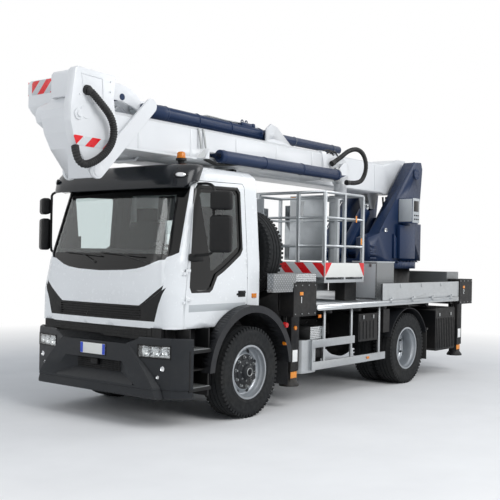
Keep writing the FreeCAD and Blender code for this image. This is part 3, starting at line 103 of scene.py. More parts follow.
def round_edges(bm, edges, amount, segments=2):
    """Rounds edges by an amount in millimetres."""
    bmesh.ops.bevel(bm, geom=edges, offset=amount / 1000, offset_type="OFFSET", segments=segments,
                    profile=0.5, affect="EDGES", material=-1, clamp_overlap=True)


def edges_of(verts):
    """The edges that meet some points."""
    return list({edge for vert in verts for edge in vert.link_edges})


def middle_of(face):
    """The middle of a face, in metres."""
    return face.calc_center_median()


def block(bm, x0, x1, y0, y1, z0, z1, chamfer=0.0, turn=0.0):
    """A box between two corners, with its edges chamfered, turned in degrees about its own upright axis."""
    centre = at((x0 + x1) / 2, (y0 + y1) / 2, (z0 + z1) / 2)
    size = (abs(x1 - x0) / 1000, abs(y1 - y0) / 1000, abs(z1 - z0) / 1000, 1)
    matrix = Matrix.Translation(centre) @ Matrix.Rotation(math.radians(turn), 4, "Z") @ Matrix.Diagonal(size)
    made = bmesh.ops.create_cube(bm, size=1.0, matrix=matrix)["verts"]
    if chamfer:
        round_edges(bm, edges_of(made), chamfer)


def bar(bm, start, end, radius, end_radius=None, segments=16):
    """A round bar or cone between two points."""
    low, high = at(*start), at(*end)
    axis = high - low
    turn = axis.to_track_quat("Z", "Y").to_matrix().to_4x4()
    last = radius if end_radius is None else end_radius
    bmesh.ops.create_cone(bm, cap_ends=True, cap_tris=False, segments=segments, radius1=radius / 1000,
                          radius2=last / 1000, depth=axis.length,
                          matrix=Matrix.Translation((low + high) / 2) @ turn)


def turned(bm, profile, centre, axis, steps=48):
    """Spins a closed profile of (radius, distance along the axis) right round an axis."""
    along = Vector(axis).normalized()
    out = along.orthogonal().normalized()
    middle = at(*centre)
    verts = [bm.verts.new(middle + out * (r / 1000) + along * (a / 1000)) for r, a in profile]
    edges = [bm.edges.new((verts[i], verts[(i + 1) % len(verts)])) for i in range(len(verts))]
    bmesh.ops.spin(bm, geom=verts + edges, cent=middle, axis=along, angle=math.tau, steps=steps,
                   use_merge=True)


def ring(bm, centre, axis, radius, thickness, steps=36, section=10):
    """A round ring about an axis."""
    profile = []
    for index in range(section):
        angle = math.tau * index / section
        profile.append((radius + thickness * math.cos(angle), thickness * math.sin(angle)))
    turned(bm, profile, centre, axis, steps)


def ball(bm, centre, radius, squash=(1, 1, 1), segments=16):
    """A ball, or a lens shape where it is squashed."""
    matrix = Matrix.Translation(at(*centre)) @ Matrix.Diagonal((squash[0], squash[1], squash[2], 1))
    bmesh.ops.create_uvsphere(bm, u_segments=segments, v_segments=segments // 2, radius=radius / 1000,
                              matrix=matrix)


def plate(bm, points, axis, start, depth):
    """A flat outline with thickness along axis: x takes (y, z) points, y takes (x, z) and z takes (x, y)."""
    places = {"x": [at(start, a, b) for a, b in points], "y": [at(a, start, b) for a, b in points],
              "z": [at(a, b, start) for a, b in points]}
    face = bm.faces.new([bm.verts.new(place) for place in places[axis]])
    push = {"x": (depth, 0, 0), "y": (0, depth, 0), "z": (0, 0, depth)}[axis]
    made = bmesh.ops.extrude_face_region(bm, geom=[face])["geom"]
    moved = [item for item in made if isinstance(item, bmesh.types.BMVert)]
    bmesh.ops.translate(bm, vec=Vector(push) / 1000, verts=moved)


def slab(bm, points, axis, start, depth, chamfer=6.0):
    """A plate with its edges rounded."""
    before = set(bm.verts)
    plate(bm, points, axis, start, depth)
    round_edges(bm, edges_of([vert for vert in bm.verts if vert not in before]), chamfer)


def link_shape(bm, x0, z0, r0, x1, z1, r1, y, depth, chamfer=3.0):
    """A flat link with round ends."""
    points = []
    angle = math.atan2(z1 - z0, x1 - x0)
    for x, z, radius, turn in ((x0, z0, r0, math.pi / 2), (x1, z1, r1, -math.pi / 2)):
        for step in range(9):
            way = angle + turn + math.pi * step / 8
            points.append((x + radius * math.cos(way), z + radius * math.sin(way)))
    slab(bm, points, "y", y, depth, chamfer)


def loft(bm, sections):
    """A solid through closed outlines of (x, y, z) points. Every outline has the same number of points."""
    before = None
    for index, points in enumerate(sections):
        verts = [bm.verts.new(at(*point)) for point in points]
        edges = [bm.edges.new((verts[i - 1], verts[i])) for i in range(len(verts))]
        if before:
            bmesh.ops.bridge_loops(bm, edges=before + edges)
        if index in (0, len(sections) - 1):
            bmesh.ops.contextual_create(bm, geom=edges)
        before = edges


def trim(bm, spot, normal):
    """Cuts away what lies beyond a plane and closes the cut."""
    geom = list(bm.verts) + list(bm.edges) + list(bm.faces)
    made = bmesh.ops.bisect_plane(bm, geom=geom, dist=1e-6, plane_co=at(*spot), plane_no=Vector(normal),
                                  clear_outer=True)
    edges = [item for item in made["geom_cut"] if isinstance(item, bmesh.types.BMEdge)]
    bmesh.ops.holes_fill(bm, edges=edges, sides=0)


def smooth_path(points, gap):
    """Points about gap millimetres apart on a smooth curve through the given ones."""
    knots = [Vector(p) for p in points]
    knots = [knots[0] * 2 - knots[1]] + knots + [knots[-1] * 2 - knots[-2]]
    path = []
    for index in range(1, len(knots) - 2):
        a, b, c, d = knots[index - 1:index + 3]
        count = max(2, int((c - b).length / gap))
        for step in range(count):
            t = step / count
            path.append(0.5 * (2 * b + (c - a) * t + (2 * a - 5 * b + 4 * c - d) * t * t
                               + (3 * b - a - 3 * c + d) * t * t * t))
    path.append(knots[-2])
    return path


def hose(bm, points, radius, gap=40.0, ribs=0.0, section=10):
    """A round hose through the given points. Where ribs is set, every second ring stands that much proud."""
    path = smooth_path(points, gap)
    before = None
    normal = (path[1] - path[0]).orthogonal().normalized()
    for index, point in enumerate(path):
        ahead = path[min(index + 1, len(path) - 1)] - path[max(index - 1, 0)]
        tangent = ahead.normalized()
        normal = (normal - tangent * normal.dot(tangent)).normalized()
        across = tangent.cross(normal)
        matrix = Matrix.Translation(at(*point)) @ Matrix((normal, across, tangent)).transposed().to_4x4()
        reach = radius + (ribs if index % 2 else 0.0)
        verts = bmesh.ops.create_circle(bm, cap_ends=False, segments=section, radius=reach / 1000,
                                        matrix=matrix)["verts"]
        edges = edges_of(verts)
        if before:
            bmesh.ops.bridge_loops(bm, edges=before + edges)
        if index in (0, len(path) - 1):
            bmesh.ops.contextual_create(bm, geom=edges)
        before = edges


def finish(bm, name, body, finish_name, replaces=(), sharp=32.0):
    """Makes the piece: merges doubles, turns normals outward, sets its surface and the body that it rides on.

    A large face square to an axis stays flat, or its light would bend towards a small round beside it.
    """
    bmesh.ops.remove_doubles(bm, verts=bm.verts, dist=WELD)
    bmesh.ops.recalc_face_normals(bm, faces=bm.faces)
    for face in bm.faces:
        square_on = max(abs(value) for value in face.normal) > SQUARE_ON
        face.smooth = not square_on or face.calc_area() < LARGE_FACE
    mesh = bpy.data.meshes.new(name)
    bm.to_mesh(mesh)
    bm.free()
    mesh.set_sharp_from_angle(angle=math.radians(sharp))
    names = [finish_name] if isinstance(finish_name, str) else finish_name
    for entry in names:
        mesh.materials.append(surface(entry))
    piece = bpy.data.objects.new(name, mesh)
    bpy.context.scene.collection.objects.link(piece)
    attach(piece, body)
    if replaces:
        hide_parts(*replaces)
    return piece


def inside(points, a, b):
    """True where a point lies inside an outline."""
    hit = False
    for index in range(len(points)):
        a0, b0 = points[index]
        a1, b1 = points[index - 1]
        if (b0 > b) != (b1 > b) and a < (a1 - a0) * (b - b0) / (b1 - b0) + a0:
            hit = not hit
    return hit


def repaint(bm, outline, axis, index, keep):
    """Cuts an outline into the faces that keep() takes and gives what is inside it another surface."""
    spots = [at(0, a, b) if axis == "x" else at(a, 0, b) for a, b in outline]
    across = Vector((1, 0, 0)) if axis == "x" else Vector((0, 1, 0))
    for number, spot in enumerate(spots):
        faces = [face for face in bm.faces if keep(face)]
        geom = list({item for face in faces for item in list(face.verts) + list(face.edges)}) + faces
        normal = (spots[number - 1] - spot).cross(across)
        bmesh.ops.bisect_plane(bm, geom=geom, dist=1e-6, plane_co=spot, plane_no=normal)
    for face in bm.faces:
        if keep(face):
            centre = middle_of(face)
            first = centre.y * 1000 if axis == "x" else (centre.x - FRONT_AXLE) * 1000
            if inside(outline, first, centre.z * 1000):
                face.material_index = index


def merged_copy(node, chamfer=0.0):
    """A CAD node's mesh with its triangles merged, its flat faces whole and its sharp edges chamfered."""
    bm = bmesh.new()
    bm.from_mesh(frame["nodes"][node].data)
    for face in bm.faces:
        face.material_index = 0
    bmesh.ops.remove_doubles(bm, verts=bm.verts, dist=WELD)
    if chamfer:
        bmesh.ops.dissolve_limit(bm, angle_limit=math.radians(0.4), verts=bm.verts, edges=bm.edges)
        edges = [edge for edge in bm.edges
                 if edge.is_manifold and edge.calc_face_angle(0.0) > math.radians(50)
                 and edge.calc_length() > 4 * chamfer / 1000]
        round_edges(bm, edges, chamfer, 1)
    return bm


# Surfaces

# Dust on paint and plastic, on what lies low and on bare metal
ROAD_DUST = "8C867C"
DARK_DUST = "6E6860"
METAL_DUST = "77736B"
# Metres: one lozenge's share of the rolled plate, and the step from one punched hole to the next
LOZENGE_CELL = 0.034
HOLE_PITCH = 0.022


def linear(code):
    """An sRGB hex code as linear red, green and blue."""
    channels = [int(code[index:index + 2], 16) / 255.0 for index in (0, 2, 4)]
    return tuple(c / 12.92 if c <= 0.04045 else ((c + 0.055) / 1.055) ** 2.4 for c in channels)


def chosen(key):
    """A linear colour: the user's own where key names one in the panel, or else a hex code."""
    own = bpy.context.scene.truck_colours
    return tuple(getattr(own, key)) if hasattr(own, key) else linear(key)


def darker(colour, share):
    """A linear colour with less light in it."""
    return [channel * share for channel in colour]


def per_metre(size_mm):
    """A pattern's scale from the size of its blotches in millimetres."""
    return 1000.0 / size_mm


def add(tree, kind, inputs=(), **settings):
    """Adds a node with its settings and its inputs, which are values or other nodes' outputs.

    Inputs come by name, or in the order of the live ones. Gives the first live output, or the node itself
    where it has none.
    """
    node = tree.nodes.new("ShaderNode" + kind)
    for key, value in settings.items():
        setattr(node, key, value)
    live = [socket for socket in node.inputs if socket.enabled]
    for key, value in inputs.items() if isinstance(inputs, dict) else enumerate(inputs):
        socket = live[key] if isinstance(key, int) else node.inputs[key]
        if isinstance(value, bpy.types.NodeSocket):
            tree.links.new(value, socket)
        elif socket.type == "RGBA":
            socket.default_value = (*value, 1.0)
        else:
            socket.default_value = value
    return next((socket for socket in node.outputs if socket.enabled), node)


def dirt(tree, place, amount):
    """How much road dust lies on a spot: blotchy, and more of it low down."""
    height = add(tree, "SeparateXYZ", [place]).node.outputs["Z"]
    low = add(tree, "MapRange", [height, 0.35, 2.2, 1.0, 0.25])
    cloud = add(tree, "TexNoise", [place, per_metre(320.0), 8.0, 0.65])
    blotch = add(tree, "MapRange", [cloud, 0.42, 0.72, 0.0, 1.0])
    both = add(tree, "Math", [low, blotch], operation="MULTIPLY")
    return add(tree, "Math", [both, amount], operation="MULTIPLY")


def uneven(tree, place, size_mm, low, high, detail=4.0, roughness=0.55):
    """A value that wanders between two ends in blotches about size_mm across."""
    cloud = add(tree, "TexNoise", [place, per_metre(size_mm), detail, roughness])
    return add(tree, "MapRange", [cloud, 0.3, 0.7, low, high])


def coated(tree, place, colour, rough, dust, metallic=0.0, coat=0.0, grain_mm=3.0, grain=0.06,
           dust_colour=ROAD_DUST, gloss=0.5):
    """A painted, moulded or plated surface with blotchy dust, uneven gloss and a fine skin."""
    soil = dirt(tree, place, dust)
    shade = uneven(tree, place, 900.0, 0.0, 1.0, 3.0)
    base = add(tree, "Mix", [shade, chosen(colour), darker(chosen(colour), 0.93)], data_type="RGBA")
    wear = add(tree, "Math", [soil, 0.35], operation="MULTIPLY")
    skin = add(tree, "TexNoise", [place, per_metre(grain_mm), 2.0, 0.55])
    return {
        "Base Color": add(tree, "Mix", [soil, base, linear(dust_colour)], data_type="RGBA"),
        "Roughness": add(tree, "Math", [uneven(tree, place, 45.0, rough * 0.85, min(rough * 1.2, 1.0), 5.0),
                                        wear],
                         operation="ADD"),
        "Normal": add(tree, "Bump", {"Height": skin, "Strength": grain, "Distance": 0.0006}),
        "Metallic": metallic, "Coat Weight": coat, "Coat Roughness": 0.08, "Specular IOR Level": gloss,
    }


def brushed(tree, place, colour, rough, stretch, dust=0.25):
    """Bare metal with fine drawn lines along one direction and dull patches."""
    soil = dirt(tree, place, dust)
    drawn = add(tree, "Mapping", {"Vector": place, "Scale": stretch})
    lines = add(tree, "TexNoise", [drawn, per_metre(30.0), 3.0, 0.6])
    bright = add(tree, "MapRange", [lines, 0.3, 0.7, 0.0, 1.0])
    base = add(tree, "Mix", [bright, chosen(colour), darker(chosen(colour), 0.82)], data_type="RGBA")
    return {
        "Base Color": add(tree, "Mix", [soil, base, linear(METAL_DUST)], data_type="RGBA"),
        "Roughness": uneven(tree, place, 60.0, rough * 0.8, rough * 1.35, 6.0),
        "Normal": add(tree, "Bump", {"Height": lines, "Strength": 0.12, "Distance": 0.0004}),
        "Metallic": 1.0,
    }


def facing_plane(tree, place):
    """Two coordinates that lie in the surface, whichever way a flat face looks."""
    split = add(tree, "SeparateXYZ", [place]).node.outputs
    facing = add(tree, "SeparateXYZ", [add(tree, "TexCoord").node.outputs["Normal"]]).node.outputs
    ends = add(tree, "Math", [add(tree, "Math", [facing["X"]], operation="ABSOLUTE"), 0.7],
               operation="GREATER_THAN")
    side = add(tree, "Math", [split["Y"], split["Z"]], operation="ADD")
    return (add(tree, "Mix", [ends, split["X"], split["Y"]], data_type="FLOAT"),
            add(tree, "Mix", [ends, side, split["Z"]], data_type="FLOAT"))


def off_centre(tree, value):
    """How far a value is from the middle of its own whole step, up or down."""
    return add(tree, "Math", [add(tree, "Math", [value], operation="FRACT"), 0.5], operation="SUBTRACT")


def tread_plate(tree, place, colour):
    """Rolled aluminium plate with raised lozenges that lie crosswise by turns. The ground between them is
    painted darker, as painted shade.
    """
    first, second = facing_plane(tree, place)
    across = LOZENGE_CELL * 1.414
    u = add(tree, "Math", [add(tree, "Math", [first, second], operation="ADD"), across], operation="DIVIDE")
    v = add(tree, "Math", [add(tree, "Math", [first, second], operation="SUBTRACT"), across],
            operation="DIVIDE")
    steps = [add(tree, "Math", [value], operation="FLOOR") for value in (u, v)]
    odd = add(tree, "Math", [add(tree, "Math", steps, operation="ADD"), 1.0], operation="PINGPONG")
    a, b = [add(tree, "Math", [off_centre(tree, value)], operation="ABSOLUTE") for value in (u, v)]
    long_side = add(tree, "Mix", [odd, a, b], data_type="FLOAT")
    short_side = add(tree, "Mix", [odd, b, a], data_type="FLOAT")
    reach = add(tree, "Math", [add(tree, "Math", [long_side, 0.44], operation="DIVIDE"),
                               add(tree, "Math", [short_side, 0.15], operation="DIVIDE")], operation="ADD")
    raised = add(tree, "MapRange", [reach, 0.75, 1.05, 1.0, 0.0])
    # Painted shade: the ground between the lozenges gets 0.42 of the metal's colour.
    base = add(tree, "Mix", [raised, darker(chosen(colour), 0.42), chosen(colour)], data_type="RGBA")
    return {
        "Base Color": add(tree, "Mix", [dirt(tree, place, 0.35), base, linear(METAL_DUST)], data_type="RGBA"),
        "Roughness": uneven(tree, place, 50.0, 0.28, 0.5),
        "Normal": add(tree, "Bump", {"Height": raised, "Strength": 0.8, "Distance": 0.0015}),
        "Metallic": 0.9,
    }


def holed_plate(tree, place, colour):
    """Stainless sheet with rows of punched holes, which are painted near-black as painted shade."""
    squares = []
    for value in facing_plane(tree, place):
        away = off_centre(tree, add(tree, "Math", [value, HOLE_PITCH], operation="DIVIDE"))
        squares.append(add(tree, "Math", [away, away], operation="MULTIPLY"))
    reach = add(tree, "Math", [add(tree, "Math", squares, operation="ADD")], operation="SQRT")
    solid = add(tree, "MapRange", [reach, 0.24, 0.32, 0.0, 1.0])
    # Painted shade: the holes are near-black, for the shade seen through them.
    base = add(tree, "Mix", [solid, linear("101112"), chosen(colour)], data_type="RGBA")
    return {
        "Base Color": add(tree, "Mix", [dirt(tree, place, 0.2), base, linear(METAL_DUST)], data_type="RGBA"),
        "Roughness": uneven(tree, place, 40.0, 0.2, 0.38),
        "Normal": add(tree, "Bump", {"Height": solid, "Strength": 0.9, "Distance": 0.002}),
        "Metallic": 0.85,
    }


def striped(tree, place, first_colour, second_colour, width, slope):
    """Reflective sheet with slanted bars in two colours. slope is (along x, along y, along z)."""
    width_m = getattr(bpy.context.scene.truck_sizes, width) if isinstance(width, str) else width
    run = add(tree, "VectorMath", [place, slope], operation="DOT_PRODUCT")
    phase = add(tree, "Math", [add(tree, "Math", [run, 2.0 * width_m], operation="DIVIDE")],
                operation="FRACT")
    bars = add(tree, "MapRange", [phase, 0.497, 0.503, 0.0, 1.0])
    base = add(tree, "Mix", [bars, chosen(first_colour), chosen(second_colour)], data_type="RGBA")
    cells = add(tree, "TexVoronoi", {"Vector": place, "Scale": 260.0})
    return {
        "Base Color": add(tree, "Mix", [dirt(tree, place, 0.2), base, linear(ROAD_DUST)], data_type="RGBA"),
        "Roughness": uneven(tree, place, 40.0, 0.24, 0.39),
        "Normal": add(tree, "Bump", {"Height": cells, "Strength": 0.08, "Distance": 0.0004}),
    }


def lens(tree, place, colour, rough, see_through):
    """Moulded clear or tinted plastic or glass with a faint film of dust."""
    waves = add(tree, "TexNoise", [place, per_metre(700.0), 1.0, 0.55])
    return {
        "Base Color": add(tree, "Mix", [dirt(tree, place, 0.08), chosen(colour), linear("9C968C")],
                          data_type="RGBA"),
        "Roughness": uneven(tree, place, 120.0, rough * 0.8, rough * 1.4, 5.0),
        "Normal": add(tree, "Bump", {"Height": waves, "Strength": 0.02, "Distance": 0.002}),
        "Transmission Weight": see_through, "IOR": 1.5,
    }


# Each entry is the maker and its values, where a colour of the panel's goes by its name. The comment says
# what the real material is, how it is made and what that gives the eye.
SURFACES = {
    # two-layer gloss enamel sprayed on the cab: a clear shine over soft white
    "cab_enamel_white": (coated, ("cab_white", 0.24, 0.05, 0.0, 0.4)),
    # single-layer enamel sprayed on welded boom plate: white with a wide, soft shine
    "boom_enamel_white": (coated, ("boom_white", 0.34, 0.06, 0.0, 0.15)),
    # navy enamel sprayed on the turret and cylinders: deep blue, half gloss
    "enamel_navy": (coated, ("navy", 0.38, 0.04, 0.0, 0.0, 3.0, 0.06, ROAD_DUST, 0.32)),
    # light grey enamel sprayed on boxes and panels: even and nearly matt
    "enamel_grey": (coated, ("box_grey", 0.42, 0.12)),
    # mid grey enamel on the boom's sliding rings: even and nearly matt
    "enamel_mid_grey": (coated, ("7E8488", 0.45, 0.12)),
    # chassis black sprayed over welds: dull, with pale road dirt low down
    "chassis_black": (coated, ("chassis_black", 0.55, 0.2, 0.0, 0.0, 3.0, 0.06, DARK_DUST, 0.32)),
    # cast iron under oil and dust: rough grey with brown patches
    "cast_iron": (coated, ("4A4A48", 0.6, 0.4, 0.4, 0.0, 6.0, 0.3)),
    # aluminium lacquer on pressed steel wheels: silver, with brake dust
    "wheel_silver": (coated, ("wheel_silver", 0.34, 0.12, 0.6, 0.1)),
    # cured tyre rubber: matt near-black with a grain, drawn coarser than the real one so that it shows
    "tyre_rubber": (coated, ("1A1C1E", 0.8, 0.14, 0.0, 0.0, 5.0, 0.35, "55524C", 0.3)),
    # moulded and grained polypropylene: black with a dull sheen
    "plastic_black": (coated, ("0D0E10", 0.5, 0.04, 0.0, 0.0, 2.0, 0.25, ROAD_DUST, 0.28)),
    # moulded and lightly grained polypropylene of the bumper: dark grey with a soft sheen
    "bumper_plastic": (coated, ("bumper_grey", 0.42, 0.03, 0.0, 0.0, 2.0, 0.2, ROAD_DUST, 0.3)),
    # moulded polypropylene of the arch flares: dark grey, duller than the bumper
    "plastic_flare": (coated, ("1F2125", 0.48, 0.05, 0.0, 0.0, 2.0, 0.25, ROAD_DUST, 0.32)),
    # vacuum-formed tinted acrylic of the visor: smoke black with sharp reflections
    "acrylic_visor": (coated, ("12171D", 0.2, 0.02, 0.0, 0.0, 3.0, 0.06, ROAD_DUST, 0.4)),
    # extruded neoprene of seals and hose covers: matt black
    "neoprene": (coated, ("141516", 0.6, 0.08, 0.0, 0.0, 3.0, 0.25)),
    # woven polyester over foam on the seats: dark and matt, with a weave drawn coarser so that it shows
    "seat_cloth": (coated, ("1D2024", 0.85, 0.06, 0.0, 0.0, 2.5, 0.6)),
    # mill-finish aluminium extrusion: bare metal with lines drawn along the vehicle
    "aluminium_long": (brushed, ("C3C7CA", 0.36, (0.6, 40.0, 40.0))),
    # mill-finish aluminium post and sheet: bare metal with upright lines
    "aluminium_post": (brushed, ("BFC4C8", 0.38, (40.0, 40.0, 0.6))),
    # hard chrome on ground steel: a mirror with faint rings
    "hard_chrome": (brushed, ("D4D8DA", 0.12, (1.0, 60.0, 60.0), 0.1)),
    # zinc plate on turned steel fasteners: dull silver
    "zinc_steel": (brushed, ("A8ABAC", 0.4, (20.0, 20.0, 20.0), 0.3)),
    # rolled lozenge plate in aluminium: raised lozenges in the metal's colour, with the ground between them
    # painted darker as painted shade
    "lozenge_plate": (tread_plate, ("C2C6C9",)),
    # punched stainless sheet: bright metal, with its holes painted near-black as painted shade
    "punched_sheet": (holed_plate, ("CDD0D2",)),
    # aluminised reflector bowl: a bright mirror
    "reflector_bowl": (brushed, ("E6E8EA", 0.1, (8.0, 8.0, 8.0), 0.0)),
    # silvered mirror glass: a clean mirror
    "mirror_silver": (brushed, ("D0D6DA", 0.04, (1.0, 1.0, 1.0), 0.05)),
    # tempered float glass: clear with a faint green
    "float_glass": (lens, ("E4ECEC", 0.02, 1.0)),
    # ceramic print baked on the edge of the glass: black and glossy
    "glass_black_band": (coated, ("060708", 0.08, 0.01, 0.0, 0.0, 3.0, 0.0, ROAD_DUST, 0.4)),
    # moulded clear polycarbonate: clear with a film of dust
    "lens_clear": (lens, ("F2F4F4", 0.04, 0.95)),
    # moulded amber polycarbonate: deep orange, half clear
    "lens_amber": (lens, ("amber", 0.15, 0.25)),
    # moulded red polycarbonate: deep red, half clear
    "lens_red": (lens, ("D3181A", 0.15, 0.2)),
    # moulded prismatic reflector: amber plastic, with fine bars painted lighter and darker as painted light
    # and shade on its prisms
    "reflector_amber": (striped, ("F39A1A", "E9830F", 0.006, (0.0, 0.0, 1.0))),
    # prismatic warning sheet: slanted red and pale bars, for faces to the side, to the front and on the head
    "hazard_side": (striped, ("stripe_red", "stripe_pale", "side_stripe", (0.707, 0.0, 0.707))),
    "hazard_front": (striped, ("stripe_red", "stripe_pale", "front_stripe", (0.0, 0.707, 0.707))),
    "hazard_head": (striped, ("stripe_red", "C4C9CC", "head_stripe", (0.0, -0.707, 0.707))),
    # printed red film: even and nearly matt
    "film_red": (coated, ("stripe_red", 0.35, 0.04)),
    # moulded and flocked trim inside the cab: dark and matt
    "cab_trim": (coated, ("17191C", 0.7, 0.02, 0.0, 0.0, 4.0, 0.3)),
    # pressed and coated plate, blank, and its blue end bands: even and nearly matt
    "plate_white": (coated, ("E9EAE6", 0.4, 0.1)),
    "plate_blue": (coated, ("1F49C8", 0.4, 0.1)),
    # dark enamel on the wheel's middle: dull grey with brake dust; also the painted shade in the front
    # wheels' hand holes
    "wheel_dark": (coated, ("2A2C2F", 0.5, 0.15, 0.2, 0.0, 3.0, 0.06, DARK_DUST, 0.3)),
    # printed white film: even and nearly matt
    "film_white": (coated, ("F0F1F0", 0.45, 0.1)),
}
made_surfaces = {}


def surface(name):
    """The named surface, made on first use."""
    if name not in made_surfaces:
        material = bpy.data.materials.new(name)
        material.use_nodes = True
        tree = material.node_tree
        tree.nodes.clear()
        place = add(tree, "TexCoord").node.outputs["Object"]
        maker, values = SURFACES[name]
        add(tree, "OutputMaterial", [add(tree, "BsdfPrincipled", maker(tree, place, *values))])
        made_surfaces[name] = material
    return made_surfaces[name]


# CAD nodes that keep their shape: finish, chamfer in millimetres
NODE_FINISH = {
    "chassis_frame": ("chassis_black", 2.0), "subframe": ("chassis_black", 0.0), "engine": ("cast_iron", 6.0),
    "axles_and_springs": ("chassis_black", 0.0), "cab_interior": ("seat_cloth", 0.0),
    "fenders": ("plastic_flare", 0.0), "entry_steps": ("plastic_black", 3.0),
    "rests": ("chassis_black", 3.0), "deck": ("aluminium_long", 0.0), "deck_lockers": ("lozenge_plate", 3.0),
    "under_deck_boxes": ("plastic_black", 0.0), "guards": ("aluminium_long", 2.0),
    "turret_frame": ("enamel_navy", 0.0), "lift_barrel": ("enamel_navy", 0.0),
    "lift_rod": ("hard_chrome", 0.0), "fold_lever": ("boom_enamel_white", 2.0),
    "fold_barrel": ("enamel_navy", 0.0), "fold_rod": ("hard_chrome", 0.0),
    "tip_bracket": ("boom_enamel_white", 0.0), "grille": ("plastic_black", 0.0),
}
for side, label in SIDES:
    NODE_FINISH["rear_rims_" + label] = ("wheel_silver", 0.0)
    NODE_FINISH["steering_knuckle_" + label] = ("cast_iron", 0.0)
    NODE_FINISH["side_board_" + label] = ("aluminium_long", 2.0)
    for place in ("front", "rear"):
        NODE_FINISH[f"beam_{place}_{label}"] = ("chassis_black", 3.0)
        NODE_FINISH[f"leg_{place}_{label}"] = ("chassis_black", 2.0)


def node_body(node):
    """The body that a CAD node belongs to."""
    return frame["nodes"][node]["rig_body"]


def skin(bm, node, finish_name):
    """Finishes a copy of a CAD node, which it stands in for."""
    finish(bm, node + "_skin", node_body(node), finish_name, (node,))


def dress_nodes():
    """Gives each CAD node that keeps its shape a merged, smooth-shaded skin."""
    for node, (finish_name, chamfer) in sorted(NODE_FINISH.items()):
        bm = merged_copy(node, chamfer)
        skin(bm, node, finish_name)


# Cab

def cab_nose(z):
    """How far forward the cab's middle reaches at one height."""
    levels = ((1040, 1228), (1400, 1240), (1720, 1195), (2560, 955), (2700, 890), (2765, 760))
    for (z0, x0), (z1, x1) in zip(levels, levels[1:]):
        if z <= z1:
            return x0 + (x1 - x0) * (z - z0) / (z1 - z0)
    return levels[-1][1]


def cab_face(y, z):
    """The cab's front surface at one spot, with its bow."""
    return cab_nose(z) - 45.0 * (y / 860.0) ** 2


def cab_side(z):
    """The cab's half width at one height."""
    levels = ((1040, 1070), (1400, 1075), (1720, 1072), (2560, 1005), (2700, 985), (2765, 895))
    for (z0, y0), (z1, y1) in zip(levels, levels[1:]):
        if z <= z1:
            return y0 + (y1 - y0) * (z - z0) / (z1 - z0)
    return levels[-1][1]


COWL_HALF = [(0, 1624), (365, 1636), (543, 1655), (650, 1680), (800, 1738), (965, 1800), (1010, 1830),
             (960, 2545)]
COWL = [(-y, z) for y, z in reversed(COWL_HALF[1:])] + COWL_HALF
SCREEN_CLEAR = [(-895, 1812), (895, 1812), (850, 2440), (-850, 2440)]
GRILLE_BLACK = [(-825, 1110), (825, 1110), (880, 1290), (928, 1492), (815, 1408), (690, 1318), (610, 1266),
                (510, 1245), (-510, 1245), (-610, 1266), (-690, 1318), (-815, 1408), (-928, 1492),
                (-880, 1290)]
DOOR_GLASS = [(605, 1790), (720, 2450), (700, 2475), (140, 2495), (120, 2470), (120, 1905), (420, 1720),
              (540, 1650), (590, 1640)]
WINDOW_FRAME = [(935, 1470), (920, 1760), (800, 2500), (755, 2555), (90, 2575), (45, 2520), (45, 1880),
                (90, 1815), (380, 1635), (490, 1580), (570, 1440), (615, 1410), (905, 1410)]


def dress_cab():
    """The cab's shell, doors and glass with their black surrounds, seals and bands cut into the skin."""
    bm = merged_copy("cab_shell")
    repaint(bm, COWL, "x", 1, lambda face: face.normal.x > 0.25 and middle_of(face).x > at(780, 0, 0).x)
    for face in bm.faces:
        centre = middle_of(face)
        towards = Vector((FRONT_AXLE + 0.3, 0.0, 1.9)) - centre
        hidden = abs(centre.y) < 1.045 and 1.05 < centre.z < 2.745 and at(-180, 0, 0).x < centre.x
        if hidden and face.normal.dot(towards) > 0.0 and face.material_index == 0:
            face.material_index = 3
    repaint(bm, GRILLE_BLACK, "x", 2, lambda face: face.normal.x > 0.25 and middle_of(face).z < 1.55
            and middle_of(face).x > at(1100, 0, 0).x)
    skin(bm, "cab_shell", ["cab_enamel_white", "glass_black_band", "plastic_black", "cab_trim"])
    bm = merged_copy("cab_glass")
    for face in bm.faces:
        face.material_index = 1
    repaint(bm, SCREEN_CLEAR, "x", 0,
            lambda face: abs(face.normal.x) > 0.25 and middle_of(face).x > FRONT_AXLE)
    for face in bm.faces:
        if middle_of(face).x < FRONT_AXLE:
            face.material_index = 0
    skin(bm, "cab_glass", ["float_glass", "glass_black_band"])
    for side, label in SIDES:
        bm = merged_copy("door_" + label)
        repaint(bm, WINDOW_FRAME, "y", 1, lambda face: face.normal.y * side > 0.4)
        for face in bm.faces:
            centre = middle_of(face)
            if face.normal.y * side < -0.4:
                face.material_index = 2
            elif (abs(face.normal.y) <= 0.4
                  and inside(WINDOW_FRAME, (centre.x - FRONT_AXLE) * 1000, centre.z * 1000)):
                face.material_index = 1
        skin(bm, "door_" + label, ["cab_enamel_white", "glass_black_band", "cab_trim"])
        bm = merged_copy("door_glass_" + label)
        for face in bm.faces:
            face.material_index = 1
        repaint(bm, DOOR_GLASS, "y", 0, lambda face: abs(face.normal.y) > 0.4)
        skin(bm, "door_glass_" + label, ["float_glass", "glass_black_band"])


VISOR_PLAN = [(0, 0), (-4, 600), (-20, 840), (-48, 965), (-92, 1038), (-150, 1074), (-215, 1080)]


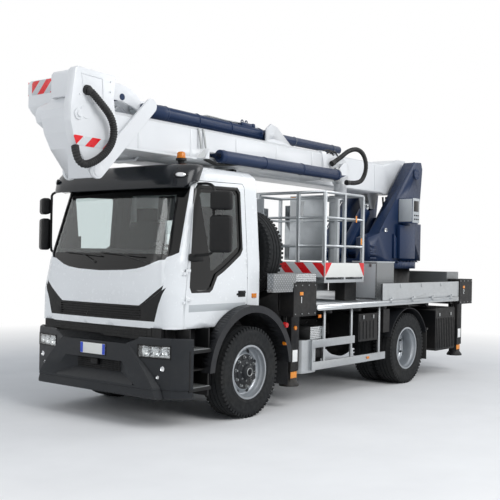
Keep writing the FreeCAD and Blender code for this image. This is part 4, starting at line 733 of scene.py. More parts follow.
def visor_parts():
    """The tinted sun visor that wraps the roof's front edge, with a marker lamp let into each end."""
    bm = bmesh.new()
    sections = []
    for z, front, shrink in ((2508, 1096, 8), (2520, 1102, 2), (2600, 1086, 0), (2690, 1044, 4),
                             (2745, 1002, 22), (2768, 962, 52), (2772, 930, 80)):
        outer = [(front + x, y * (1 - shrink / 1080.0)) for x, y in VISOR_PLAN]
        inner = [(x - 110, y * 0.95) for x, y in outer]
        lift = [max(z, 2585.0 if index > 5 else 2560.0 if index == 5 else z) for index in range(len(outer))]
        half = [(x, y, lift[index]) for index, (x, y) in enumerate(outer)]
        back = [(x, y, lift[index]) for index, (x, y) in enumerate(inner)]
        far = [(x, -y, height) for x, y, height in reversed(half[1:])]
        far_back = [(x, -y, height) for x, y, height in back[1:]]
        sections.append(half + back[::-1] + far_back + far)
    loft(bm, sections)
    finish(bm, "visor_skin", "truck", "acrylic_visor", ("sun_visor",), 40.0)
    for kind, finish_name, low, high in (("frames", "plastic_black", 1.0, 1.0),
                                         ("lenses", "reflector_bowl", 1.5, 0.78)):
        bm = bmesh.new()
        for side in (1, -1):
            turn = (Matrix.Rotation(math.radians(side * 38), 4, "Z")
                    @ Matrix.Rotation(math.radians(-14), 4, "Y"))
            shape = Matrix.Diagonal((0.016 * low, 0.078 * high, 0.034 * high, 1))
            bmesh.ops.create_uvsphere(bm, u_segments=24, v_segments=12, radius=1.0,
                                      matrix=Matrix.Translation(at(1012, side * 990, 2640)) @ turn @ shape)
        finish(bm, "marker_lamp_" + kind, "truck", finish_name)


def mirror_parts():
    """The two mirrors of each door outside an upright pole, on arms that stand on the door."""
    width = bpy.context.scene.truck_sizes.mirror_width
    for side, label in SIDES:
        body = "cab_door_" + label
        bm = bmesh.new()
        turn = Matrix.Rotation(math.radians(side * 30), 4, "Z")
        housings = ((2030.0, 192.0), (2372.0, 98.0))
        for z, half in housings:
            housing = (Matrix.Translation(at(850, side * 1416, z)) @ turn
                       @ Matrix.Diagonal((0.11, width, half * 2 / 1000, 1)))
            made = bmesh.ops.create_cube(bm, size=1.0, matrix=housing)["verts"]
            round_edges(bm, edges_of(made), 34.0, 4)
        hose(bm, [(733, side * 968, 2568), (800, side * 1180, 2556), (838, side * 1290, 2520),
                  (842, side * 1302, 2440), (842, side * 1304, 2150), (842, side * 1300, 1880),
                  (850, side * 1262, 1822), (880, side * 1150, 1808), (900, side * 1062, 1806)], 15, 60)
        for z in (2330, 2400, 1930, 2120):
            bar(bm, (842, side * 1302, z), (850, side * 1390, z), 11)
        bar(bm, (733, side * 955, 2568), (737, side * 985, 2567), 30, 24, 20)
        foot = Matrix.Translation(at(855, side * 1086, 1782)) @ Matrix.Diagonal((0.21, 0.05, 0.08, 1))
        round_edges(bm, edges_of(bmesh.ops.create_cube(bm, size=1.0, matrix=foot)["verts"]), 22.0, 3)
        finish(bm, "mirror_body_" + label, body, "plastic_black",
               ("mirror_" + label,))
        bm = bmesh.new()
        for z, half in housings:
            shape = Matrix.Translation(at(850, side * 1416, z)) @ turn @ Matrix.Translation((-0.0545, 0, 0))
            glass = shape @ Matrix.Diagonal((0.004, width - 0.042, (half - 20) * 2 / 1000, 1))
            bmesh.ops.create_cube(bm, size=1.0, matrix=glass)
        finish(bm, "mirror_glass_" + label, body, "mirror_silver")


def cab_front_parts():
    """The honeycomb behind the grille's opening, and the wipers on the cowl."""
    bm = bmesh.new()
    turn = Matrix.Rotation(math.pi / 2, 4, "Y")
    radius = bpy.context.scene.truck_sizes.grille_cell * 1000
    for row in range(9):
        z = 1128.0 + row * radius * 1.55
        for column in range(-38, 39):
            y = column * radius * 1.8 + (radius * 0.9 if row % 2 else 0.0)
            reach = 625.0 + max(0.0, z - 1270.0) * 1.7
            if abs(y) > reach or z > 1262.0 + max(0.0, abs(y) - 640.0) * 0.55:
                continue
            matrix = Matrix.Translation(at(cab_face(y, z) + 1.0, y, z)) @ turn
            verts = bmesh.ops.create_circle(bm, cap_ends=True, segments=6, radius=radius / 1000,
                                            matrix=matrix)["verts"]
            face = verts[0].link_faces[0]
            bmesh.ops.inset_region(bm, faces=[face], thickness=0.003, depth=0.0)
            bmesh.ops.translate(bm, vec=(-0.012, 0, 0), verts=face.verts)
    finish(bm, "grille_honeycomb", "truck", "plastic_black")
    bm = bmesh.new()
    for pivot_y, tip_y, blade in ((-100.0, -330.0, 640.0), (700.0, 300.0, 640.0)):
        pivot_z = 1716.0
        blade_z = 1800.0
        x = cab_face(pivot_y, pivot_z)
        bar(bm, (x - 12, pivot_y, pivot_z), (x + 12, pivot_y, pivot_z), 20, 15)
        bar(bm, (x + 8, pivot_y, pivot_z), (cab_face(tip_y, blade_z) + 9, tip_y, blade_z), 9, 6, 8)
        for step in range(4):
            y0 = tip_y - blade / 2 + step * blade / 4
            y1 = y0 + blade / 4
            z0 = blade_z + (y0 - tip_y) * -0.06
            z1 = blade_z + (y1 - tip_y) * -0.06
            bar(bm, (cab_face(y0, z0) + 5, y0, z0), (cab_face(y1, z1) + 5, y1, z1), 7, 7, 6)
    finish(bm, "wipers", "truck", "neoprene")


def cab_side_parts():
    """The doors' handles, grey lines and window posts, and the lamps behind the doors."""
    for side, label in SIDES:
        body = "cab_door_" + label
        y = side * 1075.0
        bm = bmesh.new()
        block(bm, 5, 135, y - side * 4, y + side * 2, 1350, 1420, 2.0)
        block(bm, 15, 125, y, y + side * 16, 1392, 1412, 4.0)
        bar(bm, (150, y - side * 2, 1380), (150, y + side * 4, 1380), 12)
        finish(bm, "door_handle_" + label, body, "plastic_black")
        bm = bmesh.new()
        block(bm, 0, 940, side * (cab_side(1250) - 3), side * (cab_side(1250) + 1.0), 1212, 1288, 1.0)
        finish(bm, "door_line_" + label, body, "enamel_grey")
        bm = bmesh.new()
        block(bm, 615, 640, side * (cab_side(2150) - 28), side * (cab_side(2150) - 5), 1770, 2010, 2.0)
        finish(bm, "window_post_" + label, body, "plastic_black")
        bm = bmesh.new()
        block(bm, -190, -110, y - side * 3, y + side * 12, 1335, 1385, 4.0)
        finish(bm, "side_lamp_" + label, "truck", "lens_amber")


BEACON_PLACE = (805, 800)


def lamps():
    """The headlamps with their bowls and lenses, the fog lamps, the rear and side lamps and the beacon."""
    for side, label in SIDES:
        bm = bmesh.new()
        plate(bm, lamp_plan(side, LAMP_INNER_Y, LAMP_OUTER_Y, -54, -40), "z", 743, 124)
        for y, radius in ((752.0, 56.0), (876.0, 52.0), (980.0, 44.0)):
            turned(bm, [(radius, 30), (radius * 0.8, 12), (radius * 0.45, 2), (8, 0), (8, -3),
                        (radius * 0.45, -1), (radius * 0.8, 8), (radius, 27)],
                        (lamp_plane(y) - 38, side * y, 806), (1, 0, 0), 24)
            ball(bm, (lamp_plane(y) - 22, side * y, 806), radius * 0.3)
        finish(bm, "headlamp_bowls_" + label, "truck", "reflector_bowl")
        bm = bmesh.new()
        plate(bm, lamp_plan(side, LAMP_INNER_Y, LAMP_OUTER_Y, -6, 1), "z", 744, 122)
        finish(bm, "headlamp_lens_" + label, "truck", "lens_clear")
        bm = bmesh.new()
        for y, z, radius in ((960.0, 636.0, 28.0), (905.0, 545.0, 19.0)):
            turned(bm, [(radius, -14), (radius, 6), (radius - 4, 10), (radius - 7, 4), (0.05, 1),
                        (0.05, -14)],
                   (lamp_plane(y), side * y, z), (1, 0, 0), 24)
        finish(bm, "fog_lamps_" + label, "truck", "reflector_bowl")
        bm = bmesh.new()
        block(bm, REAR_END_X, REAR_END_X - 40, side * 790, side * 860, 488, 572, 4.0)
        finish(bm, "rear_lens_amber_" + label, "truck", "lens_amber")
        bm = bmesh.new()
        block(bm, REAR_END_X, REAR_END_X - 40, side * 866, side * 1002, 488, 572, 4.0)
        finish(bm, "rear_lens_red_" + label, "truck", "lens_red")
    bm = merged_copy("lamps")
    front = [face for face in bm.faces
             if middle_of(face).x > at(1150, 0, 0).x and middle_of(face).z < 1.0]
    bmesh.ops.delete(bm, geom=front, context="FACES")
    bmesh.ops.delete(bm, geom=[face for face in bm.faces if middle_of(face).z > 2.5], context="FACES")
    for face in bm.faces:
        face.material_index = 1 if middle_of(face).x < 0 else 0
    skin(bm, "lamps", ["lens_clear", "plastic_black"])
    bm = bmesh.new()
    radius = bpy.context.scene.truck_sizes.beacon_radius * 1000
    bar(bm, (*BEACON_PLACE, 2755), (*BEACON_PLACE, 2822), 36, 36, 24)
    bar(bm, (*BEACON_PLACE, 2818), (*BEACON_PLACE, 2842), radius + 10, radius + 6, 32)
    finish(bm, "beacon_foot", "truck", "plastic_black")
    bm = bmesh.new()
    dome = [(0.05, 0), (radius, 0), (radius, 8), (radius - 3, 10), (radius - 4, 50), (radius - 12, 66),
            (radius - 30, 73), (0.05, 75)]
    turned(bm, dome, (*BEACON_PLACE, 2842), (0, 0, 1), 32)
    finish(bm, "beacon_lens", "truck", "lens_amber")
    bm = bmesh.new()
    for side in (1, -1):
        bar(bm, (-596, side * 1190, 1009), (-596, side * 1232, 1009), 36, 28, 20)
        for place_x in (FRONT_BEAM_X, REAR_BEAM_X):
            centre = place_x + side * LEG_OFFSET
            block(bm, centre - 6, centre + 22, side * 1185, side * 1188, 960, 1092, 0.5)
    finish(bm, "side_red_lamps", "truck", "lens_red")
    bm = bmesh.new()
    for side in (1, -1):
        for x, z in ((-800, 963), (-622, 796)):
            bar(bm, (x, side * 1170, z), (x, side * 1214, z), 30, 24)
        block(bm, -1300, -1360, side * 1190, side * 1204, 1060, 1100, 4.0)
        block(bm, -2500, -2560, side * 1190, side * 1202, 452, 484, 3.0)
    finish(bm, "side_marker_lamps", "truck", "lens_amber")


# A tread block's length round the tyre, its width and its height in metres, as a matrix's diagonal
TREAD_BLOCK = (0.029, 0.042, 0.041, 1)


def wheel_parts():
    """Tyres with tread blocks and rings on the walls, the wheels' nuts and caps, and dark plugs of painted
    shade in the front wheels' hand holes.
    """
    lugs = bpy.context.scene.truck_sizes.tread_blocks
    half = 142.5
    profile = [(292, -117), (300, -128), (330, -136), (338, -139.5), (346, -136.5), (400, -142), (440, -141),
               (452, -142.4), (463, -139), (480, -131), (496, -116), (507, -97)]
    for y in (-55.0, 0.0, 55.0):
        profile += [(510, y - 8), (499, y - 5), (499, y + 5), (510, y + 8)]
    profile += [(r, -a) for r, a in reversed(profile[:12])]

    def one_tyre(bm, x, y, z, axis):
        """A tyre with two rows of tread blocks."""
        turned(bm, profile, (x, y, z), axis, 96)
        for index in range(lugs):
            angle = math.tau * index / lugs
            for way in (-1, 1):
                turn = Matrix.Rotation(angle + (0.025 if way > 0 else 0.0), 4, "Y")
                shape = Matrix.Translation((0, way * 0.117, 0.4865)) @ Matrix.Diagonal(TREAD_BLOCK)
                upright = Matrix.Identity(4) if axis[1] else Matrix.Rotation(-math.pi / 2, 4, "Z")
                matrix = Matrix.Translation(at(x, y, z)) @ upright @ turn @ shape
                bmesh.ops.create_cube(bm, size=1.0, matrix=matrix)

    def nuts(bm, x, y, z, axis, radius, count, size, height):
        """A circle of nuts, each on its washer."""
        along = Vector(axis)
        first = along.orthogonal().normalized()
        for index in range(count):
            out = Matrix.Rotation(math.tau * index / count, 3, along) @ first * radius
            start = Vector((x, y, z)) + out
            bar(bm, start, start + along * height * 0.25, size * 1.25, size * 1.25, 12)
            bar(bm, start + along * height * 0.25, start + along * height, size, size * 0.8, 6)

    for side, label in SIDES:
        middle = side * (1165.0 - half)
        bm = bmesh.new()
        one_tyre(bm, 0, middle, AXLE_Z, (0, 1, 0))
        finish(bm, "front_tyre_tread_" + label, "front_wheel_" + label, "tyre_rubber",
               ("front_tyre_" + label,))
        bm = bmesh.new()
        outer = side * (1177.0 - half)
        one_tyre(bm, -WHEELBASE, outer, AXLE_Z, (0, 1, 0))
        one_tyre(bm, -WHEELBASE, outer - side * 335.0, AXLE_Z, (0, 1, 0))
        finish(bm, "rear_tyre_treads_" + label, "rear_wheels_" + label, "tyre_rubber",
               ("rear_tyres_" + label,))
        bm = bmesh.new()
        nuts(bm, 0, side * 1084.0, AXLE_Z, (0, side, 0), 167.0, 10, 15.0, 30.0)
        nuts(bm, 0, side * 1106.0, AXLE_Z, (0, side, 0), 100.0, 8, 9.0, 10.0)
        ring(bm, (0, side * 1156.0, AXLE_Z), (0, 1, 0), 44.0, 5.0)
        ring(bm, (0, side * 1150.0, AXLE_Z), (0, 1, 0), 286.0, 5.0, 72)
        finish(bm, "front_nuts_" + label, "front_wheel_" + label, "zinc_steel")
        bm = merged_copy("front_rim_" + label)
        for face in bm.faces:
            centre = middle_of(face) - at(0, 0, AXLE_Z)
            face.material_index = 1 if math.hypot(centre.x, centre.z) < 0.19 else 0
        finish(bm, "front_rim_skin_" + label, "front_wheel_" + label, ["wheel_silver", "wheel_dark"],
               ("front_rim_" + label,))
        bm = bmesh.new()
        turned(bm, [(64, 0), (186, 0), (186, 2), (64, 2)],
               (0, side * 1084.5 - (0 if side > 0 else 2), AXLE_Z), (0, 1, 0))
        # Painted shade: dark plugs fill the eight hand holes, for the shade seen through them.
        for step in range(8):
            angle = math.radians(45.0 * step + 22.5)
            spot = (232.0 * math.cos(angle), AXLE_Z + 232.0 * math.sin(angle))
            bar(bm, (spot[0], side * 1030, spot[1]), (spot[0], side * 1053, spot[1]), 25, 25, 24)
        finish(bm, "front_wheel_middle_" + label, "front_wheel_" + label, "wheel_dark")
        bm = bmesh.new()
        nuts(bm, -WHEELBASE, side * 881.0, AXLE_Z, (0, side, 0), 167.0, 10, 15.0, 30.0)
        nuts(bm, -WHEELBASE, side * 1011.0, AXLE_Z, (0, side, 0), 62.0, 8, 9.0, 8.0)
        finish(bm, "rear_nuts_" + label, "rear_wheels_" + label, "zinc_steel")
    bm = bmesh.new()
    one_tyre(bm, -500, 620, 1850, (1, 0, 0))
    finish(bm, "spare_tyre_tread", "truck", "tyre_rubber")
    bm = merged_copy("spare_wheel")
    bmesh.ops.delete(bm, geom=[face for face in bm.faces
                               if math.hypot(middle_of(face).y - 0.62, middle_of(face).z - 1.85) > 0.306],
                     context="FACES")
    finish(bm, "spare_rim_skin", "truck", "wheel_silver", ("spare_wheel",))


LAMP_INNER_Y = 664.0
LAMP_OUTER_Y = 1046.0


def lamp_plane(y):
    """How far forward the bumper's slanted face beside the lamps reaches."""
    return 1252.0 - (abs(y) - 684.0) * 0.2034


def lamp_plan(side, y0, y1, back, front):
    """The plan of a slab along the lamps' slanted face, between two depths before that face."""
    return [(lamp_plane(y0) + back, side * y0), (lamp_plane(y0) + front, side * y0),
            (lamp_plane(y1) + front, side * y1), (lamp_plane(y1) + back, side * y1)]


def fold_y(z):
    """Where the bumper's middle face folds into the slanted one. The fold runs outward on its way down."""
    levels = ((335.0, 935.0), (470.0, 900.0), (690.0, 700.0), (857.0, 520.0), (960.0, 500.0))
    for (z0, y0), (z1, y1) in zip(levels, levels[1:]):
        if z <= z1:
            return y0 + (y1 - y0) * (z - z0) / (z1 - z0)
    return levels[-1][1]


def bumper_half(z, pocket=0.0, inset=0.0, raised=None):
    """One half of the bumper's plan at one height, from its middle to its rear end."""
    fold = fold_y(z)
    first = max(fold + 30.0, LAMP_INNER_Y - 6)
    second = max(first + 4.0, LAMP_INNER_Y)
    plan = [(1290.0, 0.0), (1288.0, fold), (lamp_plane(fold + 25) - 4, fold + 25), (lamp_plane(first), first),
            (lamp_plane(second) - pocket, second), (lamp_plane(LAMP_OUTER_Y) - pocket, LAMP_OUTER_Y),
            (lamp_plane(LAMP_OUTER_Y + 6), LAMP_OUTER_Y + 6), (1146.0, 1095.0), (1102.0, 1148.0),
            (1052.0, 1182.0), (990.0, 1198.0)]
    heights = [z] * len(plan) if raised is None else raised
    return [(x - inset, y - (inset if y > 1090 else 0.0), height) for (x, y), height in zip(plan, heights)]


def bumper_parts():
    """The bumper's sculpted shell with its lamp pockets and mouth, the plate and the mesh in the mouth."""
    inner = [(1205, 0), (1205, 520), (1180, 600), (1165, 660), (1160, 680), (1090, 1000), (1085, 1010),
             (1070, 1050), (1040, 1090), (1010, 1130), (990, 1160)]

    def whole(half, z):
        """The whole ring at one height: a half, its mirror image and the inner wall."""
        back = [(x, y, z) for x, y in inner]
        near = half + back[::-1]
        far = [(x, -y, height) for x, y, height in near]
        return half + back[::-1][:-1] + [back[0]] + far[::-1][1:-1]

    bm = bmesh.new()
    low_mid = 867.0
    middle_kept = [low_mid, low_mid]
    levels = [bumper_half(680.0), bumper_half(738.0), bumper_half(742.0, 55.0),
              bumper_half(868.0, 55.0, 0.0, middle_kept + [868.0] * 9),
              bumper_half(872.0, 0.0, 0.0, middle_kept + [872.0] * 9),
              bumper_half(935.0, 0.0, 2.0, middle_kept + [880.0, 925.0] + [935.0] * 7),
              bumper_half(950.0, 0.0, 14.0, middle_kept + [884.0, 936.0] + [950.0] * 6 + [940.0])]
    loft(bm, [whole(half, max(point[2] for point in half[:1])) for half in levels])
    low = [(445.0, 0.0), (424.0, 0.0), (419.0, 10.0), (344.0, 8.0), (322.0, 24.0)]
    loft(bm, [whole(bumper_half(z, 0.0, inset), z) for z, inset in low])
    for side in (1, -1):
        sections = []
        for z, mouth in ((680.0, 450.0), (560.0, 560.0), (445.0, 660.0)):
            outline = [(1198.0, 340.0), (1289.0, mouth)] + [(x, y) for x, y, height in bumper_half(z)[1:]]
            outline += [(990, 1160), (1070, 1050), (1150, 700), (1160, 600)]
            sections.append([(x, side * y, z) for x, y in outline])
        loft(bm, sections)
    plate(bm, [(1198, 440), (1289, 444), (1284, 452), (1205, 548), (1198, 548)], "y", -610, 1220)
    block(bm, 1060, 1286, -430, -345, 745, 855)
    block(bm, 1060, 1286, 345, 430, 745, 855)
    finish(bm, "bumper_shell", "truck", "bumper_plastic", ("front_bumper",), 24.0)
    bm = bmesh.new()
    block(bm, 1180, 1197, -420, 420, 540, 690)
    for row in range(6):
        block(bm, 1197, 1203, -340, 340, 556 + row * 21, 562 + row * 21)
    for column in range(-16, 17):
        block(bm, 1197, 1202, column * 21 - 3, column * 21 + 3, 550, 680)
    block(bm, 1197, 1240, -95, 20, 600, 668, 8.0)
    block(bm, 1120, 1196, -930, 930, 850, 1046)
    for row in range(5):
        block(bm, 1196, 1206, -730, 730, 888 + row * 32, 900 + row * 32, 3.0)
    for side in (1, -1):
        block(bm, 700, 1150, side * 935, side * 955, 330, 1040)
        block(bm, 690, 712, side * 935, side * 1150, 330, 1040)
        block(bm, 1000, 1016, side * 935, side * 1160, 340, 1040)
        block(bm, 712, 1000, side * 955, side * 1120, 600, 616)
    finish(bm, "bumper_mesh", "truck", "plastic_black")
    bm = bmesh.new()
    for side in (1, -1):
        rims = ((LAMP_INNER_Y - 10, LAMP_OUTER_Y + 10, 862, 874),
                (LAMP_INNER_Y - 10, LAMP_OUTER_Y + 10, 734, 746),
                 (LAMP_INNER_Y - 10, LAMP_INNER_Y + 2, 734, 874),
                 (LAMP_OUTER_Y - 2, LAMP_OUTER_Y + 10, 734, 874))
        for y0, y1, z0, z1 in rims:
            plate(bm, lamp_plan(side, y0, y1, -20, 4), "z", z0, z1 - z0)
    block(bm, 1288, 1293, -212, 212, 712, 848, 2.0)
    finish(bm, "lamp_frames", "truck", "plastic_black")
    bm = bmesh.new()
    block(bm, 1293, 1296, -195, 195, 722, 838, 1.0)
    finish(bm, "plate_face", "truck", "plate_white")
    bm = bmesh.new()
    for y in (-175.0, 175.0):
        block(bm, 1295, 1297.5, y - 20, y + 20, 724, 836, 0.5)
    finish(bm, "plate_bands", "truck", "plate_blue")


def chassis_parts():
    """Air tanks, brake chambers, silencer, the steps' treads and the frame's bolts."""
    bm = bmesh.new()
    for x in (-1900, -2450):
        turned(bm, [(0.05, -240), (90, -238), (118, -215), (120, -200), (120, 200), (118, 215), (90, 238),
                    (0.05, 240)],
               (x, 0, 830), (1, 0, 0), 32)
    for side in (1, -1):
        bar(bm, (-150, side * 500, 560), (-300, side * 500, 560), 70, 70, 24)
        bar(bm, (-WHEELBASE + 120, side * 520, 600), (-WHEELBASE + 330, side * 520, 620), 85, 85, 24)
    finish(bm, "air_tanks", "truck", "chassis_black")
    bm = bmesh.new()
    bar(bm, (-1090, -560, 640), (-1320, -560, 640), 30)
    bar(bm, (-700, -560, 640), (-1090, -560, 640), 130, 130, 32)
    finish(bm, "silencer", "truck", "cast_iron")
    bm = bmesh.new()
    for side in (1, -1):
        for z in (437, 827):
            for row in range(8):
                y = side * (978 + row * 28)
                block(bm, 712, 1028, y - 4, y + 4, z - 3, z + 6, 0.0)
            for column in range(12):
                block(bm, 716 + column * 27, 720 + column * 27, side * 970, side * 1182, z - 3, z + 3, 0.0)
    finish(bm, "step_treads", "truck", "zinc_steel")
    bm = bmesh.new()
    for side in (1, -1):
        for x in range(-5300, 900, 240):
            for z in (760, 920):
                bar(bm, (x, side * 425, z), (x, side * 434, z), 11, 9, 6)
    finish(bm, "frame_bolts", "truck", "zinc_steel")


def outrigger_parts():
    """Bolts, reflectors, numbers, stickers and hoses of the four outriggers."""
    for place, x, number in (("front", FRONT_BEAM_X, 1), ("rear", REAR_BEAM_X, 2)):
        for side, label in SIDES:
            beam = f"outrigger_beam_{place}_{label}"
            leg = f"outrigger_leg_{place}_{label}"
            centre = x + side * LEG_OFFSET
            face = side * 1246.0
            bm = bmesh.new()
            for z in (1130, 1470):
                for step in (-205, -70, 70, 205):
                    bar(bm, (x + step, face, z), (x + step, face + side * 7, z), 10, 8, 6)
            finish(bm, f"end_bolts_{place}_{label}", beam, "zinc_steel")
            bm = bmesh.new()
            block(bm, x + 46, x + 116, face, face + side * 3, 1352, 1392, 0.5)
            finish(bm, f"end_reflector_{place}_{label}", beam, "reflector_amber")
            bm = bmesh.new()
            if number == 1:
                block(bm, x + 74, x + 86, face, face + side * 2, 1262, 1334)
            else:
                for z in (1262, 1292, 1322):
                    block(bm, x + 62, x + 102, face, face + side * 2, z, z + 11)
                block(bm, x + (62 if side > 0 else 91), x + (73 if side > 0 else 102), face, face + side * 2,
                      1292, 1333)
                block(bm, x + (91 if side > 0 else 62), x + (102 if side > 0 else 73), face, face + side * 2,
                      1262, 1303)
            finish(bm, f"end_number_{place}_{label}", beam, "film_white")
            bm = bmesh.new()
            block(bm, centre - 62, centre + 62, side * 1185, side * 1187.5, 365, 440, 0.5)
            finish(bm, f"leg_reflector_{place}_{label}", leg, "reflector_amber")
            bm = bmesh.new()
            block(bm, centre - 50, centre + 50, side * 1200, side * 1203, 560, 700, 0.5)
            finish(bm, f"leg_sticker_{place}_{label}", beam, "film_white")
            bm = bmesh.new()
            hose(bm, [(centre + 88, side * 1100, 1120), (centre + 96, side * 1100, 1000),
                      (centre + 92, side * 1100, 800), (centre + 70, side * 1100, 640)], 11, 60)
            hose(bm, [(centre + 88, side * 1130, 1120), (centre + 100, side * 1130, 980),
                      (centre + 94, side * 1130, 780), (centre + 70, side * 1130, 600)], 11, 60)
            finish(bm, f"leg_hoses_{place}_{label}", beam, "neoprene")


def deck_parts():
    """The deck's lip, board ribs, punched sheets, guard ends, locker lid, latches and box ribs."""
    for side, label in SIDES:
        bm = bmesh.new()
        for index in range(100):
            x = -1245 - index * 40.0
            block(bm, x, x - 18, side * 1206, side * 1249, 1224, 1229, 0.0)
        block(bm, -1225, -5255, side * (DECK_EDGE_Y + 0.5), side * (DECK_EDGE_Y + 4), 1172, 1180, 0.0)
        block(bm, -1225, -5255, side * (DECK_EDGE_Y + 0.5), side * (DECK_EDGE_Y + 4), 1196, 1204, 0.0)
        finish(bm, "deck_lip_" + label, "truck", "aluminium_long")
        bm = bmesh.new()
        for z in (1262, 1306, 1350, 1394, 1438):
            block(bm, -2806, -5234, side * (DECK_EDGE_Y + 0.5), side * (DECK_EDGE_Y + 4), z - 3, z + 3, 0.0)
        block(bm, -2800, -2830, side * 1219, side * 1254, 1231, 1466, 2.0)
        block(bm, -5210, -5240, side * 1219, side * 1254, 1231, 1466, 2.0)
        for x in (-3300, -3950, -4600):
            block(bm, x, x - 46, side * 1249, side * 1257, 1400, 1452, 3.0)
        finish(bm, "board_ribs_" + label, "board_" + label, "aluminium_long")
        bm = bmesh.new()
        block(bm, -300, -745, side * 1240, side * 1243, 1440, 1608, 1.0)
        finish(bm, "punched_sheet_" + label, "truck", "lozenge_plate")
        bm = bmesh.new()
        block(bm, -745, -1165, side * 1240, side * 1243, 1512, 1608, 1.0)
        block(bm, -1226, -1558, side * 1130, side * 1133, 690, 945, 1.0)
        finish(bm, "vent_sheet_" + label, "truck", "punched_sheet")
    bm = bmesh.new()
    for side in (1, -1):
        curve = [(-1320, 1150), (-1110, 1150), (-1052, 1130), (-1024, 1085), (-1040, 1080), (-1064, 1118),
                 (-1115, 1137), (-1320, 1137)]
        plate(bm, [(x, side * y) for x, y in curve], "z", 387, 405)
    finish(bm, "guard_ends", "truck", "aluminium_long")
    bm = bmesh.new()
    block(bm, -3074, -3566, 596, 600, 1240, 1700, 1.0)
    block(bm, -3060, -3580, 594, 1006, 1748, 1766, 3.0)
    block(bm, -3066, -3070, 620, 980, 1245, 1735, 1.0)
    finish(bm, "deck_locker_lid", "truck", "enamel_grey")
    bm = bmesh.new()
    for y in (700, 900):
        block(bm, -3058, -3066, y - 18, y + 18, 1690, 1740, 3.0)
    for x in (-2450, -2710):
        block(bm, x - 18, x + 18, 1160, 1172, 990, 1040, 3.0)
    for x in (-4700, -5100):
        for side in (1, -1):
            block(bm, x - 20, x + 20, side * 1190, side * 1200, 930, 980, 3.0)
    finish(bm, "latches", "truck", "zinc_steel")
    bm = bmesh.new()
    for side in (1, -1):
        for x in range(-4600, -5230, -60):
            block(bm, x, x - 22, side * 1189, side * 1197, 430, 900, 3.0)
    for x in range(-2360, -2810, -90):
        block(bm, x, x - 30, 1159, 1166, 720, 960, 3.0)
    finish(bm, "box_ribs", "truck", "plastic_black")


def turret_parts():
    """Pin caps, ridge, louvres and hatch frames, the control cabinet, and the turret's lamps and hoses."""
    bm = bmesh.new()
    for side in (1, -1):
        bar(bm, (TURRET_PIN_X, side * 519, TURRET_PIN_Z), (TURRET_PIN_X, side * 534, TURRET_PIN_Z),
            96, 88, 32)
        for index in range(6):
            angle = math.tau * index / 6
            x = TURRET_PIN_X + 66 * math.cos(angle)
            z = TURRET_PIN_Z + 66 * math.sin(angle)
            bar(bm, (x, side * 533, z), (x, side * 540, z), 11, 9, 6)
    finish(bm, "pin_caps", "turret", "enamel_navy")
    bm = bmesh.new()
    for side in (1, -1):
        for index in range(4):
            z = 1800 + index * 62
            block(bm, -3720, -3900, side * 500, side * 512, z, z + 26, 5.0)
        for index in range(14):
            x = -3700 - index * 112
            bar(bm, (x, side * 545, 1760), (x, side * 545, 1779), 13, 11, 6)
            block(bm, x - 26, x + 26, side * 502, side * 570, 1758, 1766, 1.0)
        plate(bm, [(-4020, 2225), (-5115, 3392), (-5085, 3398), (-3985, 2215)], "y", side * 500, side * 8)
        slab(bm, [(-4520, 1812), (-5040, 1812), (-5040, 2345), (-4520, 2345)], "y", side * 540 - 40, 80, 10.0)
        slab(bm, [(-4420, 1812), (-4516, 1812), (-4516, 2130), (-4420, 2200)], "y", side * 515 - 20, 40, 8.0)
    finish(bm, "turret_details", "turret", "enamel_navy")
    bm = bmesh.new()
    block(bm, -4604, -4836, 745, 749, 2384, 2771, 2.0)
    block(bm, -4590, -4600, 510, 738, 2400, 2760, 3.0)
    finish(bm, "control_cabinet", "turret", "enamel_grey")
    bm = bmesh.new()
    block(bm, -4640, -4800, 748, 753, 2560, 2730, 2.0)
    for column in range(3):
        for row in range(2):
            bar(bm, (-4660 - column * 60, 748, 2440 + row * 60), (-4660 - column * 60, 762, 2440 + row * 60),
                12, 10, 12)
    finish(bm, "control_cabinet_window", "turret", "glass_black_band")
    bm = bmesh.new()
    for side in (1, -1):
        ball(bm, (-4172, side * 520, 2252), 42, (1, 0.5, 0.7))
    finish(bm, "turret_lamps", "turret", "lens_clear")
    bm = bmesh.new()
    for y in (-60, 0, 60):
        hose(bm, [(-5100, y, 1790), (-5060, y, 2100), (-5120, y, 2500), (-5080, y, 2840)], 16, 70)
    finish(bm, "turret_hoses", "turret", "neoprene")




def paint_round(bm, y, z, radius, index):
    """Gives the faces of a bar that lies along the vehicle another surface."""
    for face in bm.faces:
        centre = middle_of(face)
        if math.hypot(centre.y * 1000 - y, centre.z * 1000 - z) < radius:
            face.material_index = index


def dress_booms():
    """The booms' white sections with their navy and chromed parts, less the head, which is made anew."""
    bm = merged_copy("lower_boom_outer")
    paint_round(bm, 0, FAR_ROD_Z, 64, 1)
    skin(bm, "lower_boom_outer", ["boom_enamel_white", "enamel_navy"])
    bm = merged_copy("lower_boom_inner")
    trim(bm, (1262, 0, 0), (1, 0, 0))
    paint_round(bm, 0, FAR_ROD_Z, 38, 1)
    skin(bm, "lower_boom_inner", ["boom_enamel_white", "hard_chrome"])
    bm = merged_copy("upper_boom_outer")
    trim(bm, (2268, 0, 3150), (1, 0, 0))
    trim(bm, (2262, 0, 3190), (70, 0, 62))
    trim(bm, (2230, 0, 2960), (150, 0, -40))
    trim(bm, (2080, 0, 2690), (270, 0, -150))
    trim(bm, (1960, 0, 2570), (120, 0, -120))
    paint_round(bm, NEAR_ROD_Y, NEAR_ROD_Z, 34, 1)
    skin(bm, "upper_boom_outer", ["boom_enamel_white", "hard_chrome"])
    bm = merged_copy("upper_boom_inner")
    paint_round(bm, NEAR_ROD_Y, NEAR_ROD_Z, 75, 1)
    skin(bm, "upper_boom_inner", ["boom_enamel_white", "enamel_navy"])


